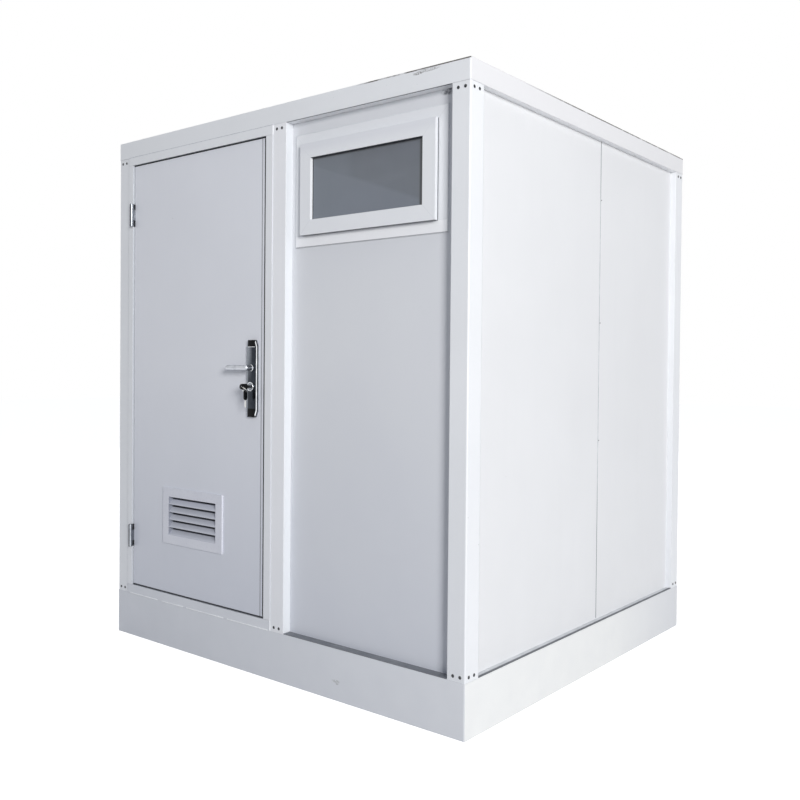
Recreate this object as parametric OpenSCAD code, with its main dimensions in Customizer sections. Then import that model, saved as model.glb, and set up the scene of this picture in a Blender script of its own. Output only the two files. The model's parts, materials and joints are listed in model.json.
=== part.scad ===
// Portable toilet cabin: a steel frame on a skirted base, sandwich panel walls,
// an outward opening door with a vent, and one top hung window.
// The origin is on the ground under the middle of the frame, +X to the right,
// +Y to the back, +Z up. The door and the window are in the front wall.

/* [Cabin] */
// Outside width across the corner posts
cabin_w = 2100; // [1900:10:2600]
// Outside depth across the corner posts
cabin_d = 1800; // [1500:10:2300]
// Overall height from the ground to the top of the beams
cabin_h = 2350; // [2250:10:2900]
// Radius of the upright outer corners
corner_r = 6; // [2:1:12]

/* [Base and floor] */
// Height of the skirt channels
base_h = 200; // [150:5:250]
// Width of the skirt channels' flanges
base_flange = 90; // [82:1:110]
// Steel thickness of the skirt channels
base_t = 4; // [2.5:0.5:6]
// Width of a floor joist
joist_w = 60; // [40:5:80]
// Steel thickness of a floor joist
joist_t = 3; // [2:0.5:5]
// Distance between joist centres
joist_pitch = 480; // [350:10:540]
// Thickness of the floor panel
floor_t = 18; // [12:1:30]
// Thickness of the track under the wall panels
track_t = 3; // [2:0.5:5]
// Distance of the track from the skirt's outer face
track_inset = 2; // [1:0.5:5]

/* [Frame] */
// Width of a corner post on each face
post_w = 80; // [80:1:100]
// How far the posts' outer faces lie behind the skirt and the top beams
post_inset = 1.5; // [1:0.5:3]
// Steel thickness of posts, beams and mullion
frame_t = 2.5; // [2:0.5:4]
// How deep the front and back panels lie behind the posts
recess_front = 38; // [25:1:50]
// How deep the side panels lie behind the posts
recess_side = 30; // [25:1:30]
// Height of the top beams
beam_h = 78; // [60:1:100]
// Width of the post between the door and the window
mullion_w = 77; // [60:1:100]

/* [Panels] */
// Thickness of the wall panels
wall_t = 50; // [40:1:50]
// Thickness of the roof panel
roof_t = 52; // [40:1:60]
// How far the roof panel lies below the top of the beams
roof_recess = 8; // [4:1:12]
// Width of the side wall panel nearest the front
side_panel_w = 954; // [700:1:1000]
// Gap between two neighbouring panels
seam_gap = 0.8; // [0.4:0.1:0.9]

/* [Door] */
// Width of the door leaf
leaf_w = 923; // [700:1:950]
// Thickness of the door leaf
leaf_t = 45; // [40:1:50]
// How far the leaf's face lies behind the posts
leaf_setback = 5; // [2:1:10]
// Gap beside the hinges and above and below the leaf
leaf_gap = 5.5; // [5.5:0.5:8]
// Gap beside the lock, where the swinging leaf needs more room
lock_gap = 15.5; // [7.5:0.5:16]
// Gap between the leaf's back and the stop of the frame
stop_gap = 5.5; // [5.5:0.5:8]
// How far the door frame stands proud of the posts
frame_proud = 3; // [1:0.5:5]
// Face width of the hinge jamb
hinge_jamb_w = 35; // [30:1:50]
// Face width of the lock jamb
lock_jamb_w = 41; // [30:1:55]
// Height of the sill's face
sill_h = 42.5; // [30:0.5:60]
// Height of the head's face
head_h = 38; // [25:1:60]
// Width of the stop inside the frame
stop_w = 18; // [12:1:18]
// Width of the pressed groove near the leaf's lock edge
groove_w = 3; // [2:0.5:5]
// Depth of that groove
groove_depth = 2; // [1:0.5:3]
// Distance of the groove from the leaf's lock edge
groove_inset = 12; // [10:1:30]

/* [Vent] */
// Width of the vent frame
vent_w = 424; // [300:1:500]
// Height of the vent frame
vent_h = 255; // [200:1:300]
// Width of the opening in the vent frame
vent_open_w = 337; // [250:1:360]
// Height of the opening in the vent frame
vent_open_h = 174; // [150:1:190]
// Distance of the vent frame from the leaf's hinge edge
vent_x = 242; // [150:1:300]
// Distance of the vent frame from the leaf's bottom
vent_z = 226; // [100:1:400]
// How far the vent frame stands proud of the leaf
vent_flange_t = 7.5; // [4:0.5:10]
// Wall of the vent's duct through the leaf
vent_duct_t = 3; // [2:0.5:5]
// Number of slats
slat_count = 5; // [4:1:6]
// Thickness of a slat
slat_t = 2.2; // [1.5:0.1:3]
// Depth of a slat
slat_depth = 24; // [18:1:26]
// How much of the slat spacing a sloping slat covers
slat_cover = 0.66; // [0.6:0.01:0.9]
// How far the slats' outer edges lie behind the vent frame's face
slat_setback = 1.5; // [0.5:0.5:4]

/* [Hinges] */
// Radius of a hinge barrel
barrel_r = 8; // [6:0.5:9]
// Radius of the hinge pin
hinge_pin_r = 4; // [3:0.5:5]
// Radial running clearance of the pin
hinge_pin_play = 0.1; // [0.05:0.01:0.1]
// Height of the upper fixed knuckle
knuckle_top_h = 26; // [20:1:35]
// Height of the knuckle that carries the leaf
knuckle_mid_h = 50; // [35:1:60]
// Height of the lower fixed knuckle
knuckle_low_h = 28; // [20:1:35]
// Axial gap between knuckles
knuckle_gap = 0.5; // [0.3:0.1:0.5]
// Distance of a hinge's middle from the leaf's end
hinge_inset = 230; // [150:5:300]
// Thickness of a hinge plate
hinge_plate_t = 2.5; // [2:0.5:3]
// How far a hinge plate reaches into the gap behind the face
hinge_plate_reach = 30; // [20:1:32]
// Clearance between a barrel and the frame's face
barrel_play = 1.5; // [1:0.5:3]

/* [Lock set] */
// Distance of the lever's spindle from the leaf's lock edge
backset = 62; // [55:1:80]
// Height of the lever's spindle above the leaf's bottom
lever_z = 1033; // [900:1:1100]
// Distance from the spindle down to the cylinder
lock_drop = 78; // [70:1:92]
// Width of a handle plate
plate_w = 66; // [48:1:76]
// Height of a handle plate
plate_h = 319; // [280:1:340]
// Distance of the spindle from the plate's top end
plate_top = 115; // [80:1:140]
// Thickness of the outer handle plate
plate_t = 12; // [10:1:18]
// Thickness of the inner handle plate
inner_plate_t = 10; // [8:1:14]
// Bevel along the edges of a handle plate
plate_bevel = 4; // [2:1:6]
// How much a handle plate's cut corners take off its ends
plate_cut = 10; // [4:1:16]
// Length along a handle plate's sides of those cut corners
plate_cut_run = 24; // [10:1:40]
// Radius of the lever's neck
neck_r = 11; // [8:0.5:12]
// Radial running clearance of the neck in its plate
neck_play = 0.1; // [0.05:0.01:0.1]
// Clearance between the end of the neck and the leaf
neck_gap = 0.5; // [0.3:0.1:1]
// Distance from the plate to the middle of the grip
grip_stand = 27; // [22:1:45]
// Radius of the grip
grip_r = 11; // [8:0.5:12]
// Length of the lever from the spindle
lever_len = 130; // [100:1:140]
// Side of the square spindle
spindle_side = 8; // [7:0.5:10]
// Radius of the bore for the spindle in the leaf
spindle_bore_r = 8; // [7.5:0.5:9]
// Radius of the cylinder's guard ring
guard_r = 18.5; // [13:0.5:20]
// How far the guard ring stands proud of the plate
guard_h = 6; // [3:0.5:8]
// Radius of the lock cylinder
cylinder_r = 9; // [8:0.5:11]
// Radius of the turning plug
plug_r = 6.5; // [5:0.5:7]
// Radial running clearance of the plug
plug_play = 0.1; // [0.05:0.01:0.1]
// Clearance of the cylinder in the leaf and the plates
cylinder_play = 0.3; // [0.2:0.1:1]
// Length of the lock faceplate in the leaf's edge
faceplate_h = 240; // [200:1:280]
// Width of the faceplate and of the strike plate
faceplate_w = 24; // [18:1:26]
// Thickness of the faceplate and of the strike plate
faceplate_t = 3; // [2:0.5:4]

/* [Keys] */
// Radius of a key's head
key_head_r = 12; // [10:0.5:14]
// Overall length of a key's head
key_head_len = 42; // [30:1:46]
// Thickness of a key's head
key_head_t = 5; // [4:0.5:8]
// Radius of the hole in a key's head
key_hole_r = 3.5; // [2.5:0.5:4]
// Material left between that hole and the end of the head
key_hole_rim = 5; // [3:0.5:6]
// Bare blade between the guard ring and the inserted key's head
key_gap = 12; // [5:0.5:14]
// Width of a key's blade
key_blade_w = 8; // [6:0.5:10]
// Thickness of a key's blade
key_blade_t = 2.4; // [2:0.1:3]
// Length of the bare blade of the hanging key
key_blade_len = 30; // [25:1:40]
// Radius of the key ring's wire
ring_wire_r = 1; // [0.8:0.1:1.5]
// Mean radius of the key ring
ring_r = 14; // [14:0.5:18]
// Angle at which the key ring hangs below level
ring_lean = 42; // [40:1:70]
// Air between the ring's wire and the edge of a key's hole
ring_play = 0.8; // [0.6:0.1:0.9]
// How far the hanging key is turned on the ring
spare_turn = 20; // [0:1:20]

/* [Window] */
// Width of the window frame's outer plate
window_w = 777; // [600:1:800]
// Height of the window frame's outer plate
window_h = 448; // [350:1:500]
// Height of the window's middle above the ground
window_z = 1993; // [1700:1:2050]
// Distance from the mullion to the window frame's outer plate
window_margin = 25; // [5:1:40]
// Thickness of the window frame's outer plate
window_plate_t = 5; // [3:0.5:8]
// Width of the sash
sash_w = 692; // [500:1:740]
// Height of the sash
sash_h = 363; // [280:1:420]
// Thickness of the sash in front of the frame
sash_t = 19; // [15:1:25]
// Face width of the sash around the glass
sash_face = 59; // [45:1:70]
// How far the frame's sleeve stays inside the sash's outline
sleeve_inset = 12; // [8:1:20]
// Wall of the frame's sleeve through the wall panel
sleeve_t = 22; // [15:1:30]
// How far the sleeve stands out inside the cabin
sleeve_out = 4; // [2:0.5:8]
// Thickness of the glass
glass_t = 5; // [4:0.5:8]
// How far the glass reaches under the sash's edge
glass_bite = 12; // [8:1:16]

/* [Hidden] */
$fn = 64;

over = 1; // how far a cutting shape passes a face
thin = 0.01; // thickness of an outline that a hull starts from
steel = "whitesmoke";
panel = "white";
metal = "silver";

// plan of the frame
x_out = cabin_w / 2;
y_out = cabin_d / 2;
x_panel = x_out - recess_side;      // outer face of the side panels
y_panel = y_out - recess_front;     // outer face of the front and back panels
x_room = x_panel - wall_t;          // inner face of the side panels
y_room = y_panel - wall_t;          // inner face of the front and back panels
beam_z = cabin_h - beam_h;          // underside of the top beams
roof_top = cabin_h - roof_recess;
roof_z = roof_top - roof_t;         // top of the walls, underside of the roof
panel_z = base_h + track_t;         // bottom of the wall panels

// door
bay_x = -x_out + post_w;            // hinge side end of the door frame
open_x = bay_x + hinge_jamb_w;      // clear opening between the jambs
leaf_x = open_x + leaf_gap;
leaf_end = leaf_x + leaf_w;
open_end = leaf_end + lock_gap;
mullion_x = open_end + lock_jamb_w;
mullion_end = mullion_x + mullion_w;
sill_z = base_h + sill_h;
head_z = beam_z - head_h;
leaf_z = sill_z + leaf_gap;
leaf_h = head_z - leaf_gap - leaf_z;
leaf_y = -y_out + leaf_setback;     // front face of the leaf
leaf_back = leaf_y + leaf_t;
frame_y = -y_out - frame_proud;     // front face of the door frame
stop_y = leaf_back + stop_gap;      // front face of the stop

// hinge axis, in the middle of the gap and clear of the frame's face
hinge_x = open_x + leaf_gap / 2;
hinge_y = frame_y - barrel_r - barrel_play;
barrel_h = knuckle_low_h + knuckle_mid_h + knuckle_top_h + 2 * knuckle_gap;
hinge_bottoms = [leaf_z + hinge_inset - barrel_h / 2, leaf_z + leaf_h - hinge_inset - barrel_h / 2];

// lock set
lock_x = leaf_end - backset;
spindle_z = leaf_z + lever_z;
key_z = spindle_z - lock_drop;
plate_face = leaf_y - plate_t;          // front of the outer plate
inner_face = leaf_back + inner_plate_t; // back of the inner plate
guard_face = plate_face - guard_h;
plate_z = spindle_z + plate_top - plate_h;
faceplate_z = (spindle_z + key_z) / 2 - faceplate_h / 2;
faceplate_y = leaf_y + leaf_t / 2 - faceplate_w / 2;

// keys: the inserted one stands upright in the plug, the other hangs beside the plate
hole_run = key_head_len - key_hole_r - key_hole_rim;    // from a head's blade end to its hole
ring_drop = key_hole_r - ring_wire_r - ring_play;       // a hole's middle to the wire resting in it
head_y = guard_face - key_gap;                          // where the inserted head begins
hole_y = head_y - hole_run;
hang_y = hole_y + 2 * ring_r * cos(ring_lean);
hang_z = key_z - 2 * ring_drop - 2 * ring_r * sin(ring_lean);

// window
window_x = mullion_end + window_margin + window_w / 2;
plate_y = -y_panel - window_plate_t;      // front of the window frame's plate
sash_y = plate_y - sash_t;
sleeve_w = sash_w - 2 * sleeve_inset;
sleeve_h = sash_h - 2 * sleeve_inset;

// vent
vent_left = leaf_x + vent_x;
vent_bottom = leaf_z + vent_z;
duct_w = vent_open_w + 2 * vent_duct_t;
duct_h = vent_open_h + 2 * vent_duct_t;
vent_mid_x = vent_left + vent_w / 2;
vent_mid_z = vent_bottom + vent_h / 2;
slat_pitch = vent_open_h / slat_count;

// a box given by its two corners
module block(a, b) {
    translate(a) cube([b[0] - a[0], b[1] - a[1], b[2] - a[2]]);
}

// plan of the cabin with rounded upright corners, drawn in by a distance
module plan(inset_x, inset_y, r) {
    w = cabin_w - 2 * inset_x;
    d = cabin_d - 2 * inset_y;
    square([w - 2 * r, d], center = true);
    square([w, d - 2 * r], center = true);
    for (x = [-1, 1], y = [-1, 1])
        translate([x * (w / 2 - r), y * (d / 2 - r)]) circle(r);
}

// the part of the plan that belongs to the front side, cut along the mitres
module front_wedge(depth_x, depth_y) {
    polygon([[-x_out - depth_x, -y_out - depth_y], [x_out + depth_x, -y_out - depth_y],
        [x_out - 2 * depth_x, -y_out + 2 * depth_y], [-x_out + 2 * depth_x, -y_out + 2 * depth_y]]);
}

// the same for the left side
module left_wedge(depth_x, depth_y) {
    polygon([[-x_out - depth_x, -y_out - depth_y], [-x_out + 2 * depth_x, -y_out + 2 * depth_y],
        [-x_out + 2 * depth_x, y_out - 2 * depth_y], [-x_out - depth_x, y_out + depth_y]]);
}

// a bar through the leaf or a plate, along Y
module along_y(x, y, z, r, length) {
    translate([x, y, z]) rotate([-90, 0, 0]) cylinder(r = r, h = length);
}

// ---- base and floor ----

// one skirt channel, open towards the middle
module channel(side) {
    color(steel) intersection() {
        difference() {
            linear_extrude(base_h) plan(0, 0, corner_r);
            translate([0, 0, base_t]) linear_extrude(base_h - 2 * base_t) plan(base_t, base_t, corner_r - base_t / 4);
            translate([0, 0, -over]) linear_extrude(base_h + 2 * over)
                square([cabin_w - 2 * base_flange, cabin_d - 2 * base_flange], center = true);
        }
        linear_extrude(base_h) children();
    }
}

module base_front() {
    channel() front_wedge(base_flange, base_flange);
}

module base_back() {
    channel() mirror([0, 1]) front_wedge(base_flange, base_flange);
}

module base_left() {
    channel() left_wedge(base_flange, base_flange);
}

module base_right() {
    channel() mirror([1, 0]) left_wedge(base_flange, base_flange);
}

module floor_joists() {
    length = cabin_d - 2 * base_flange;
    color(steel) for (i = [-1, 0, 1])
        translate([i * joist_pitch, 0, 0]) difference() {
            translate([-joist_w / 2, -length / 2, 0]) cube([joist_w, length, base_h]);
            translate([-joist_w / 2 + joist_t, -length / 2 - over, joist_t])
                cube([joist_w - 2 * joist_t, length + 2 * over, base_h - 2 * joist_t]);
        }
}

module floor_panel() {
    color("lightgray") block([-x_room, -y_room, base_h], [x_room, y_room, base_h + floor_t]);
}

// a ring under the wall panels that leaves out the posts, the mullion and the door
module bottom_track() {
    color("dimgray") translate([0, 0, base_h]) linear_extrude(track_t) difference() {
        square([cabin_w - 2 * track_inset, cabin_d - 2 * track_inset], center = true);
        square([2 * x_room, 2 * y_room], center = true);
        for (sx = [0, 1], sy = [0, 1]) mirror([sx, 0]) mirror([0, sy]) translate([-x_out, -y_out]) {
            square([post_w, recess_front]);
            square([recess_side, post_w]);
        }
        translate([mullion_x, -y_out]) square([mullion_w, recess_front]);
        translate([-x_room, -y_out]) square([x_room + mullion_x, y_out - y_room]);
    }
}

// ---- frame ----

// plan of the front left corner post, an angle of closed section, with its outer
// and its inner faces drawn in by two distances
module post_plan(outer, inner) {
    r = corner_r - outer / 2;
    long = post_w - inner - outer - r;
    translate([outer + r, outer]) square([long, recess_front - inner - outer]);
    translate([outer, outer + r]) square([recess_side - inner - outer, long]);
    translate([outer + r, outer + r]) circle(r);
}

module post(sx, sy) {
    color(steel) mirror([sx, 0, 0]) mirror([0, sy, 0]) translate([-x_out, -y_out, base_h])
        linear_extrude(beam_z - base_h) difference() {
            post_plan(post_inset, 0);
            post_plan(post_inset + frame_t, frame_t);
        }
}

module post_front_left() {
    post(0, 0);
}

module post_front_right() {
    post(1, 0);
}

module post_back_left() {
    post(0, 1);
}

module post_back_right() {
    post(1, 1);
}

module door_mullion() {
    color(steel) difference() {
        block([mullion_x, -y_out, base_h], [mullion_end, -y_panel, beam_z]);
        block([mullion_x + frame_t, -y_out + frame_t, base_h - over],
            [mullion_end - frame_t, -y_panel - frame_t, beam_z + over]);
    }
}

// one top beam: a box section with mitred ends
module beam() {
    color(steel) translate([0, 0, beam_z]) intersection() {
        difference() {
            linear_extrude(beam_h) plan(0, 0, corner_r);
            translate([0, 0, -over]) linear_extrude(beam_h + 2 * over)
                square([2 * x_panel, 2 * y_panel], center = true);
            translate([0, 0, frame_t]) linear_extrude(beam_h - 2 * frame_t) difference() {
                plan(frame_t, frame_t, corner_r - frame_t / 2);
                square([2 * (x_panel + frame_t), 2 * (y_panel + frame_t)], center = true);
            }
        }
        linear_extrude(beam_h) children();
    }
}

module beam_front() {
    beam() front_wedge(recess_side, recess_front);
}

module beam_back() {
    beam() mirror([0, 1]) front_wedge(recess_side, recess_front);
}

module beam_left() {
    beam() left_wedge(recess_side, recess_front);
}

module beam_right() {
    beam() mirror([1, 0]) left_wedge(recess_side, recess_front);
}

// ---- panels ----

module roof_panel() {
    color(panel) block([-x_panel, -y_panel, roof_z], [x_panel, y_panel, roof_top]);
}

module front_wall() {
    color(panel) difference() {
        block([mullion_x, -y_panel, panel_z], [x_room, -y_room, roof_z]);
        block([window_x - sleeve_w / 2, -y_panel - over, window_z - sleeve_h / 2],
            [window_x + sleeve_w / 2, -y_room + over, window_z + sleeve_h / 2]);
    }
}

// two panels of a side wall, with the seam between them
module side_wall() {
    seam = -y_panel + side_panel_w;
    color(panel) {
        block([x_room, -y_panel, panel_z], [x_panel, seam - seam_gap / 2, roof_z]);
        block([x_room, seam + seam_gap / 2, panel_z], [x_panel, y_panel, roof_z]);
    }
}

module left_wall() {
    mirror([1, 0, 0]) side_wall();
}

module right_wall() {
    side_wall();
}

module back_wall() {
    color(panel) for (side = [0, 1]) mirror([side, 0, 0])
        block([seam_gap / 2, y_room, panel_z], [x_room, y_panel, roof_z]);
}

// ---- door frame ----

// plan of a jamb whose outer side is at 0 and whose face is this wide
module jamb_plan(face) {
    polygon([[0, frame_y], [face, frame_y], [face, stop_y], [face + stop_w, stop_y],
        [face + stop_w, -y_room], [0, -y_room]]);
}

// behind the corner post the hinge jamb, the head and the sill reach the left wall
module door_jamb_hinge() {
    color(steel) translate([bay_x, 0, sill_z]) difference() {
        linear_extrude(head_z - sill_z) {
            jamb_plan(hinge_jamb_w);
            translate([-x_room - bay_x, -y_panel]) square([x_room + open_x, wall_t]);
        }
        for (z = hinge_bottoms)
            block([hinge_jamb_w - hinge_plate_t, frame_y - over, z - sill_z],
                [hinge_jamb_w + over, frame_y + hinge_plate_reach, z - sill_z + barrel_h]);
    }
}

module door_jamb_lock() {
    color(steel) difference() {
        translate([mullion_x, 0, sill_z]) mirror([1, 0, 0])
            linear_extrude(head_z - sill_z) jamb_plan(lock_jamb_w);
        block([open_end - over, faceplate_y, faceplate_z],
            [open_end + faceplate_t, faceplate_y + faceplate_w, faceplate_z + faceplate_h]);
    }
}

module door_head() {
    color(steel) {
        block([bay_x, frame_y, head_z], [mullion_x, -y_panel, beam_z]);
        block([-x_room, -y_panel, head_z], [mullion_x, -y_room, roof_z]);
        block([open_x + stop_w, stop_y, head_z - stop_w], [open_end - stop_w, -y_room, head_z]);
    }
}

module door_sill() {
    color(steel) {
        block([bay_x, frame_y, base_h], [mullion_x, -y_room, sill_z]);
        block([-x_room, -y_panel, base_h], [mullion_x, -y_room, sill_z]);
        block([open_x + stop_w, stop_y, sill_z], [open_end - stop_w, -y_room, sill_z + stop_w]);
    }
}

// ---- door leaf ----

module door_leaf() {
    color(panel) difference() {
        block([leaf_x, leaf_y, leaf_z], [leaf_end, leaf_back, leaf_z + leaf_h]);
        translate([vent_mid_x - duct_w / 2, leaf_y - over, vent_mid_z - duct_h / 2])
            cube([duct_w, leaf_t + 2 * over, duct_h]);
        along_y(lock_x, leaf_y - over, spindle_z, spindle_bore_r, leaf_t + 2 * over);
        along_y(lock_x, leaf_y - over, key_z, cylinder_r + cylinder_play, leaf_t + 2 * over);
        block([leaf_end - faceplate_t, faceplate_y, faceplate_z],
            [leaf_end + over, faceplate_y + faceplate_w, faceplate_z + faceplate_h]);
        translate([leaf_end - groove_inset - groove_w, leaf_y - over, leaf_z - over])
            cube([groove_w, groove_depth + over, leaf_h + 2 * over]);
        for (z = hinge_bottoms)
            block([leaf_x - over, leaf_y - over, z],
                [leaf_x + hinge_plate_t, leaf_y + hinge_plate_reach, z + barrel_h]);
    }
}

// ---- vent ----

// a flange around the vent's opening, drawn flat
module vent_face() {
    difference() {
        square([vent_w, vent_h], center = true);
        square([vent_open_w, vent_open_h], center = true);
    }
}

module vent_frame() {
    color(panel) translate([vent_mid_x, 0, vent_mid_z]) {
        translate([0, leaf_y, 0]) rotate([90, 0, 0]) linear_extrude(vent_flange_t) vent_face();
        translate([0, leaf_back, 0]) rotate([90, 0, 0]) linear_extrude(leaf_t) difference() {
            square([duct_w, duct_h], center = true);
            square([vent_open_w, vent_open_h], center = true);
        }
    }
}

module vent_inner_frame() {
    color(panel) translate([vent_mid_x, leaf_back + vent_flange_t, vent_mid_z])
        rotate([90, 0, 0]) linear_extrude(vent_flange_t) vent_face();
}

// sloping slats with their outer edge low, to shed rain
module vent_slats() {
    front = leaf_y - vent_flange_t + slat_setback;
    drop = slat_pitch * slat_cover;
    bottom = vent_mid_z - vent_open_h / 2;
    color(panel) for (i = [0:slat_count - 1])
        translate([vent_mid_x + vent_open_w / 2, 0, bottom + i * slat_pitch])
            rotate([0, -90, 0]) linear_extrude(vent_open_w)
                polygon([[0, front], [slat_t, front], [drop + slat_t, front + slat_depth],
                    [drop, front + slat_depth]]);
}

// ---- hinges ----

module hinge_fixed_knuckles() {
    color(metal) for (z = hinge_bottoms) translate([hinge_x, hinge_y, z]) {
        cylinder(r = hinge_pin_r, h = barrel_h);
        cylinder(r = barrel_r, h = knuckle_low_h);
        translate([0, 0, barrel_h - knuckle_top_h]) cylinder(r = barrel_r, h = knuckle_top_h);
        back = frame_y + hinge_plate_reach - hinge_y;
        plate_x = open_x - hinge_x - hinge_plate_t;
        block([plate_x, frame_y - hinge_y, 0], [plate_x + hinge_plate_t, back, barrel_h]);
        block([plate_x, 0, 0], [plate_x + hinge_plate_t, back, knuckle_low_h]);
        block([plate_x, 0, barrel_h - knuckle_top_h], [plate_x + hinge_plate_t, back, barrel_h]);
    }
}

module hinge_leaf_knuckles() {
    color(metal) for (z = hinge_bottoms) translate([hinge_x, hinge_y, z]) {
        mid = knuckle_low_h + knuckle_gap;
        back = leaf_y + hinge_plate_reach - hinge_y;
        plate_x = leaf_x - hinge_x;
        difference() {
            union() {
                translate([0, 0, mid]) cylinder(r = barrel_r, h = knuckle_mid_h);
                block([plate_x, 0, mid], [plate_x + hinge_plate_t, back, mid + knuckle_mid_h]);
            }
            translate([0, 0, mid - over])
                cylinder(r = hinge_pin_r + hinge_pin_play, h = knuckle_mid_h + 2 * over);
        }
        block([plate_x, leaf_y - hinge_y, 0], [plate_x + hinge_plate_t, back, barrel_h]);
    }
}

// ---- lock set ----

// outline of a handle plate with cut corners, drawn in by a distance
module plate_outline(inset) {
    w = plate_w / 2 - inset;
    low = plate_z - key_z + inset;
    high = low + plate_h - 2 * inset;
    end = w - plate_cut;
    polygon([[-end, low], [end, low], [w, low + plate_cut_run], [w, high - plate_cut_run],
        [end, high], [-end, high], [-w, high - plate_cut_run], [-w, low + plate_cut_run]]);
}

// a handle plate lying on Y = 0 and standing out towards -Y
module handle_plate(t) {
    difference() {
        rotate([90, 0, 0]) {
            linear_extrude(t - plate_bevel) plate_outline(0);
            hull() {
                translate([0, 0, t - plate_bevel - thin]) linear_extrude(thin) plate_outline(0);
                translate([0, 0, t - thin]) linear_extrude(thin) plate_outline(plate_bevel);
            }
        }
        along_y(0, -t - over, lock_drop, neck_r + neck_play, t + 2 * over);
        along_y(0, -t - over, 0, cylinder_r + cylinder_play, t + 2 * over);
    }
}

module outer_plate() {
    color("gray") translate([lock_x, leaf_y, key_z]) handle_plate(plate_t);
}

module inner_plate() {
    color("gray") translate([lock_x, leaf_back, key_z]) mirror([0, 1, 0]) handle_plate(inner_plate_t);
}

// lever with its neck through a plate whose face is at Y = 0, pointing to -Y
module lever(plate) {
    translate([0, -grip_stand, 0]) rotate([-90, 0, 0]) cylinder(r = neck_r, h = grip_stand + plate - neck_gap);
    translate([0, -grip_stand, 0]) sphere(grip_r);
    translate([0, -grip_stand, 0]) rotate([0, -90, 0]) cylinder(r = grip_r, h = lever_len - grip_r);
    translate([-lever_len + grip_r, -grip_stand, 0]) sphere(grip_r);
}

module outer_lever() {
    color(metal) translate([lock_x, 0, spindle_z]) {
        translate([0, plate_face, 0]) lever(plate_t);
        translate([-spindle_side / 2, plate_face, -spindle_side / 2])
            cube([spindle_side, inner_face - plate_face, spindle_side]);
    }
}

module inner_lever() {
    color(metal) translate([lock_x, 0, spindle_z]) difference() {
        translate([0, inner_face, 0]) mirror([0, 1, 0]) lever(inner_plate_t);
        translate([-spindle_side / 2, leaf_back, -spindle_side / 2])
            cube([spindle_side, inner_plate_t, spindle_side]);
    }
}

module lock_cylinder() {
    length = inner_face + guard_h - guard_face;
    color(metal) translate([lock_x, guard_face, key_z]) difference() {
        rotate([-90, 0, 0]) union() {
            cylinder(r = cylinder_r, h = length);
            cylinder(r = guard_r, h = guard_h);
            translate([0, 0, length - guard_h]) cylinder(r = guard_r, h = guard_h);
        }
        along_y(0, -over, 0, plug_r + plug_play, length / 2 + over);
    }
}

module lock_faceplate() {
    color(metal) block([leaf_end - faceplate_t, faceplate_y, faceplate_z],
        [leaf_end, faceplate_y + faceplate_w, faceplate_z + faceplate_h]);
}

module strike_plate() {
    color(metal) block([open_end, faceplate_y, faceplate_z],
        [open_end + faceplate_t, faceplate_y + faceplate_w, faceplate_z + faceplate_h]);
}

// ---- keys ----

// a key's head with its ring hole at 0 and its blade end towards +X, standing on Z = 0
module head_plate() {
    linear_extrude(key_head_t) difference() {
        union() {
            translate([hole_run - key_head_r, 0]) circle(key_head_r);
            translate([key_head_r - key_hole_r - key_hole_rim, 0]) circle(key_head_r);
            translate([key_head_r - key_hole_r - key_hole_rim, -key_head_r])
                square([key_head_len - 2 * key_head_r, 2 * key_head_r]);
        }
        circle(key_hole_r);
    }
}

// the plug that turns in the cylinder, with the key's blade standing out of it
module key_plug() {
    length = (inner_face + guard_h - guard_face) / 2 - over;
    color(metal) translate([lock_x, guard_face, key_z]) {
        along_y(0, 0, 0, plug_r, length);
        translate([-key_blade_t / 2, -key_gap, -key_blade_w / 2])
            cube([key_blade_t, key_gap + over, key_blade_w]);
    }
}

// the inserted key's head, upright, its blade end towards the lock
module key_head() {
    color("black") translate([lock_x - key_head_t / 2, hole_y, key_z])
        rotate([90, 0, 90]) head_plate();
}

module key_ring() {
    color(metal) translate([lock_x, (hole_y + hang_y) / 2, (key_z + hang_z) / 2])
        rotate([-ring_lean, 0, 0]) rotate_extrude() translate([ring_r, 0]) circle(ring_wire_r, $fn = 24);
}

// the hanging key's head, upright, its blade end down
module spare_key_head() {
    color("black") translate([lock_x, hang_y, hang_z]) rotate([0, 0, spare_turn])
        translate([key_head_t / 2, 0, 0]) rotate([0, 90, 180]) head_plate();
}

module spare_key_blade() {
    color(metal) translate([lock_x, hang_y, hang_z - hole_run - key_blade_len]) rotate([0, 0, spare_turn])
        translate([-key_blade_t / 2, -key_blade_w / 2, 0]) cube([key_blade_t, key_blade_w, key_blade_len]);
}

// ---- window ----

// a flat ring that stands upright, from Y = front, this deep
module ring(front, depth, w, h, open_w, open_h) {
    translate([window_x, front + depth, window_z]) rotate([90, 0, 0])
        linear_extrude(depth) difference() {
            square([w, h], center = true);
            square([open_w, open_h], center = true);
        }
}

module window_frame() {
    open_w = sleeve_w - 2 * sleeve_t;
    open_h = sleeve_h - 2 * sleeve_t;
    color(panel) {
        ring(plate_y, window_plate_t, window_w, window_h, open_w, open_h);
        ring(-y_panel, wall_t + sleeve_out, sleeve_w, sleeve_h, open_w, open_h);
    }
}

module window_sash() {
    open_w = sash_w - 2 * sash_face;
    open_h = sash_h - 2 * sash_face;
    color(panel) {
        ring(sash_y, sash_t - glass_t, sash_w, sash_h, open_w, open_h);
        ring(plate_y - glass_t, glass_t, sash_w, sash_h, open_w + 2 * glass_bite, open_h + 2 * glass_bite);
    }
}

module window_glass() {
    w = sash_w - 2 * sash_face + 2 * glass_bite;
    h = sash_h - 2 * sash_face + 2 * glass_bite;
    color("lightslategray") block([window_x - w / 2, plate_y - glass_t, window_z - h / 2],
        [window_x + w / 2, plate_y, window_z + h / 2]);
}

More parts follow.
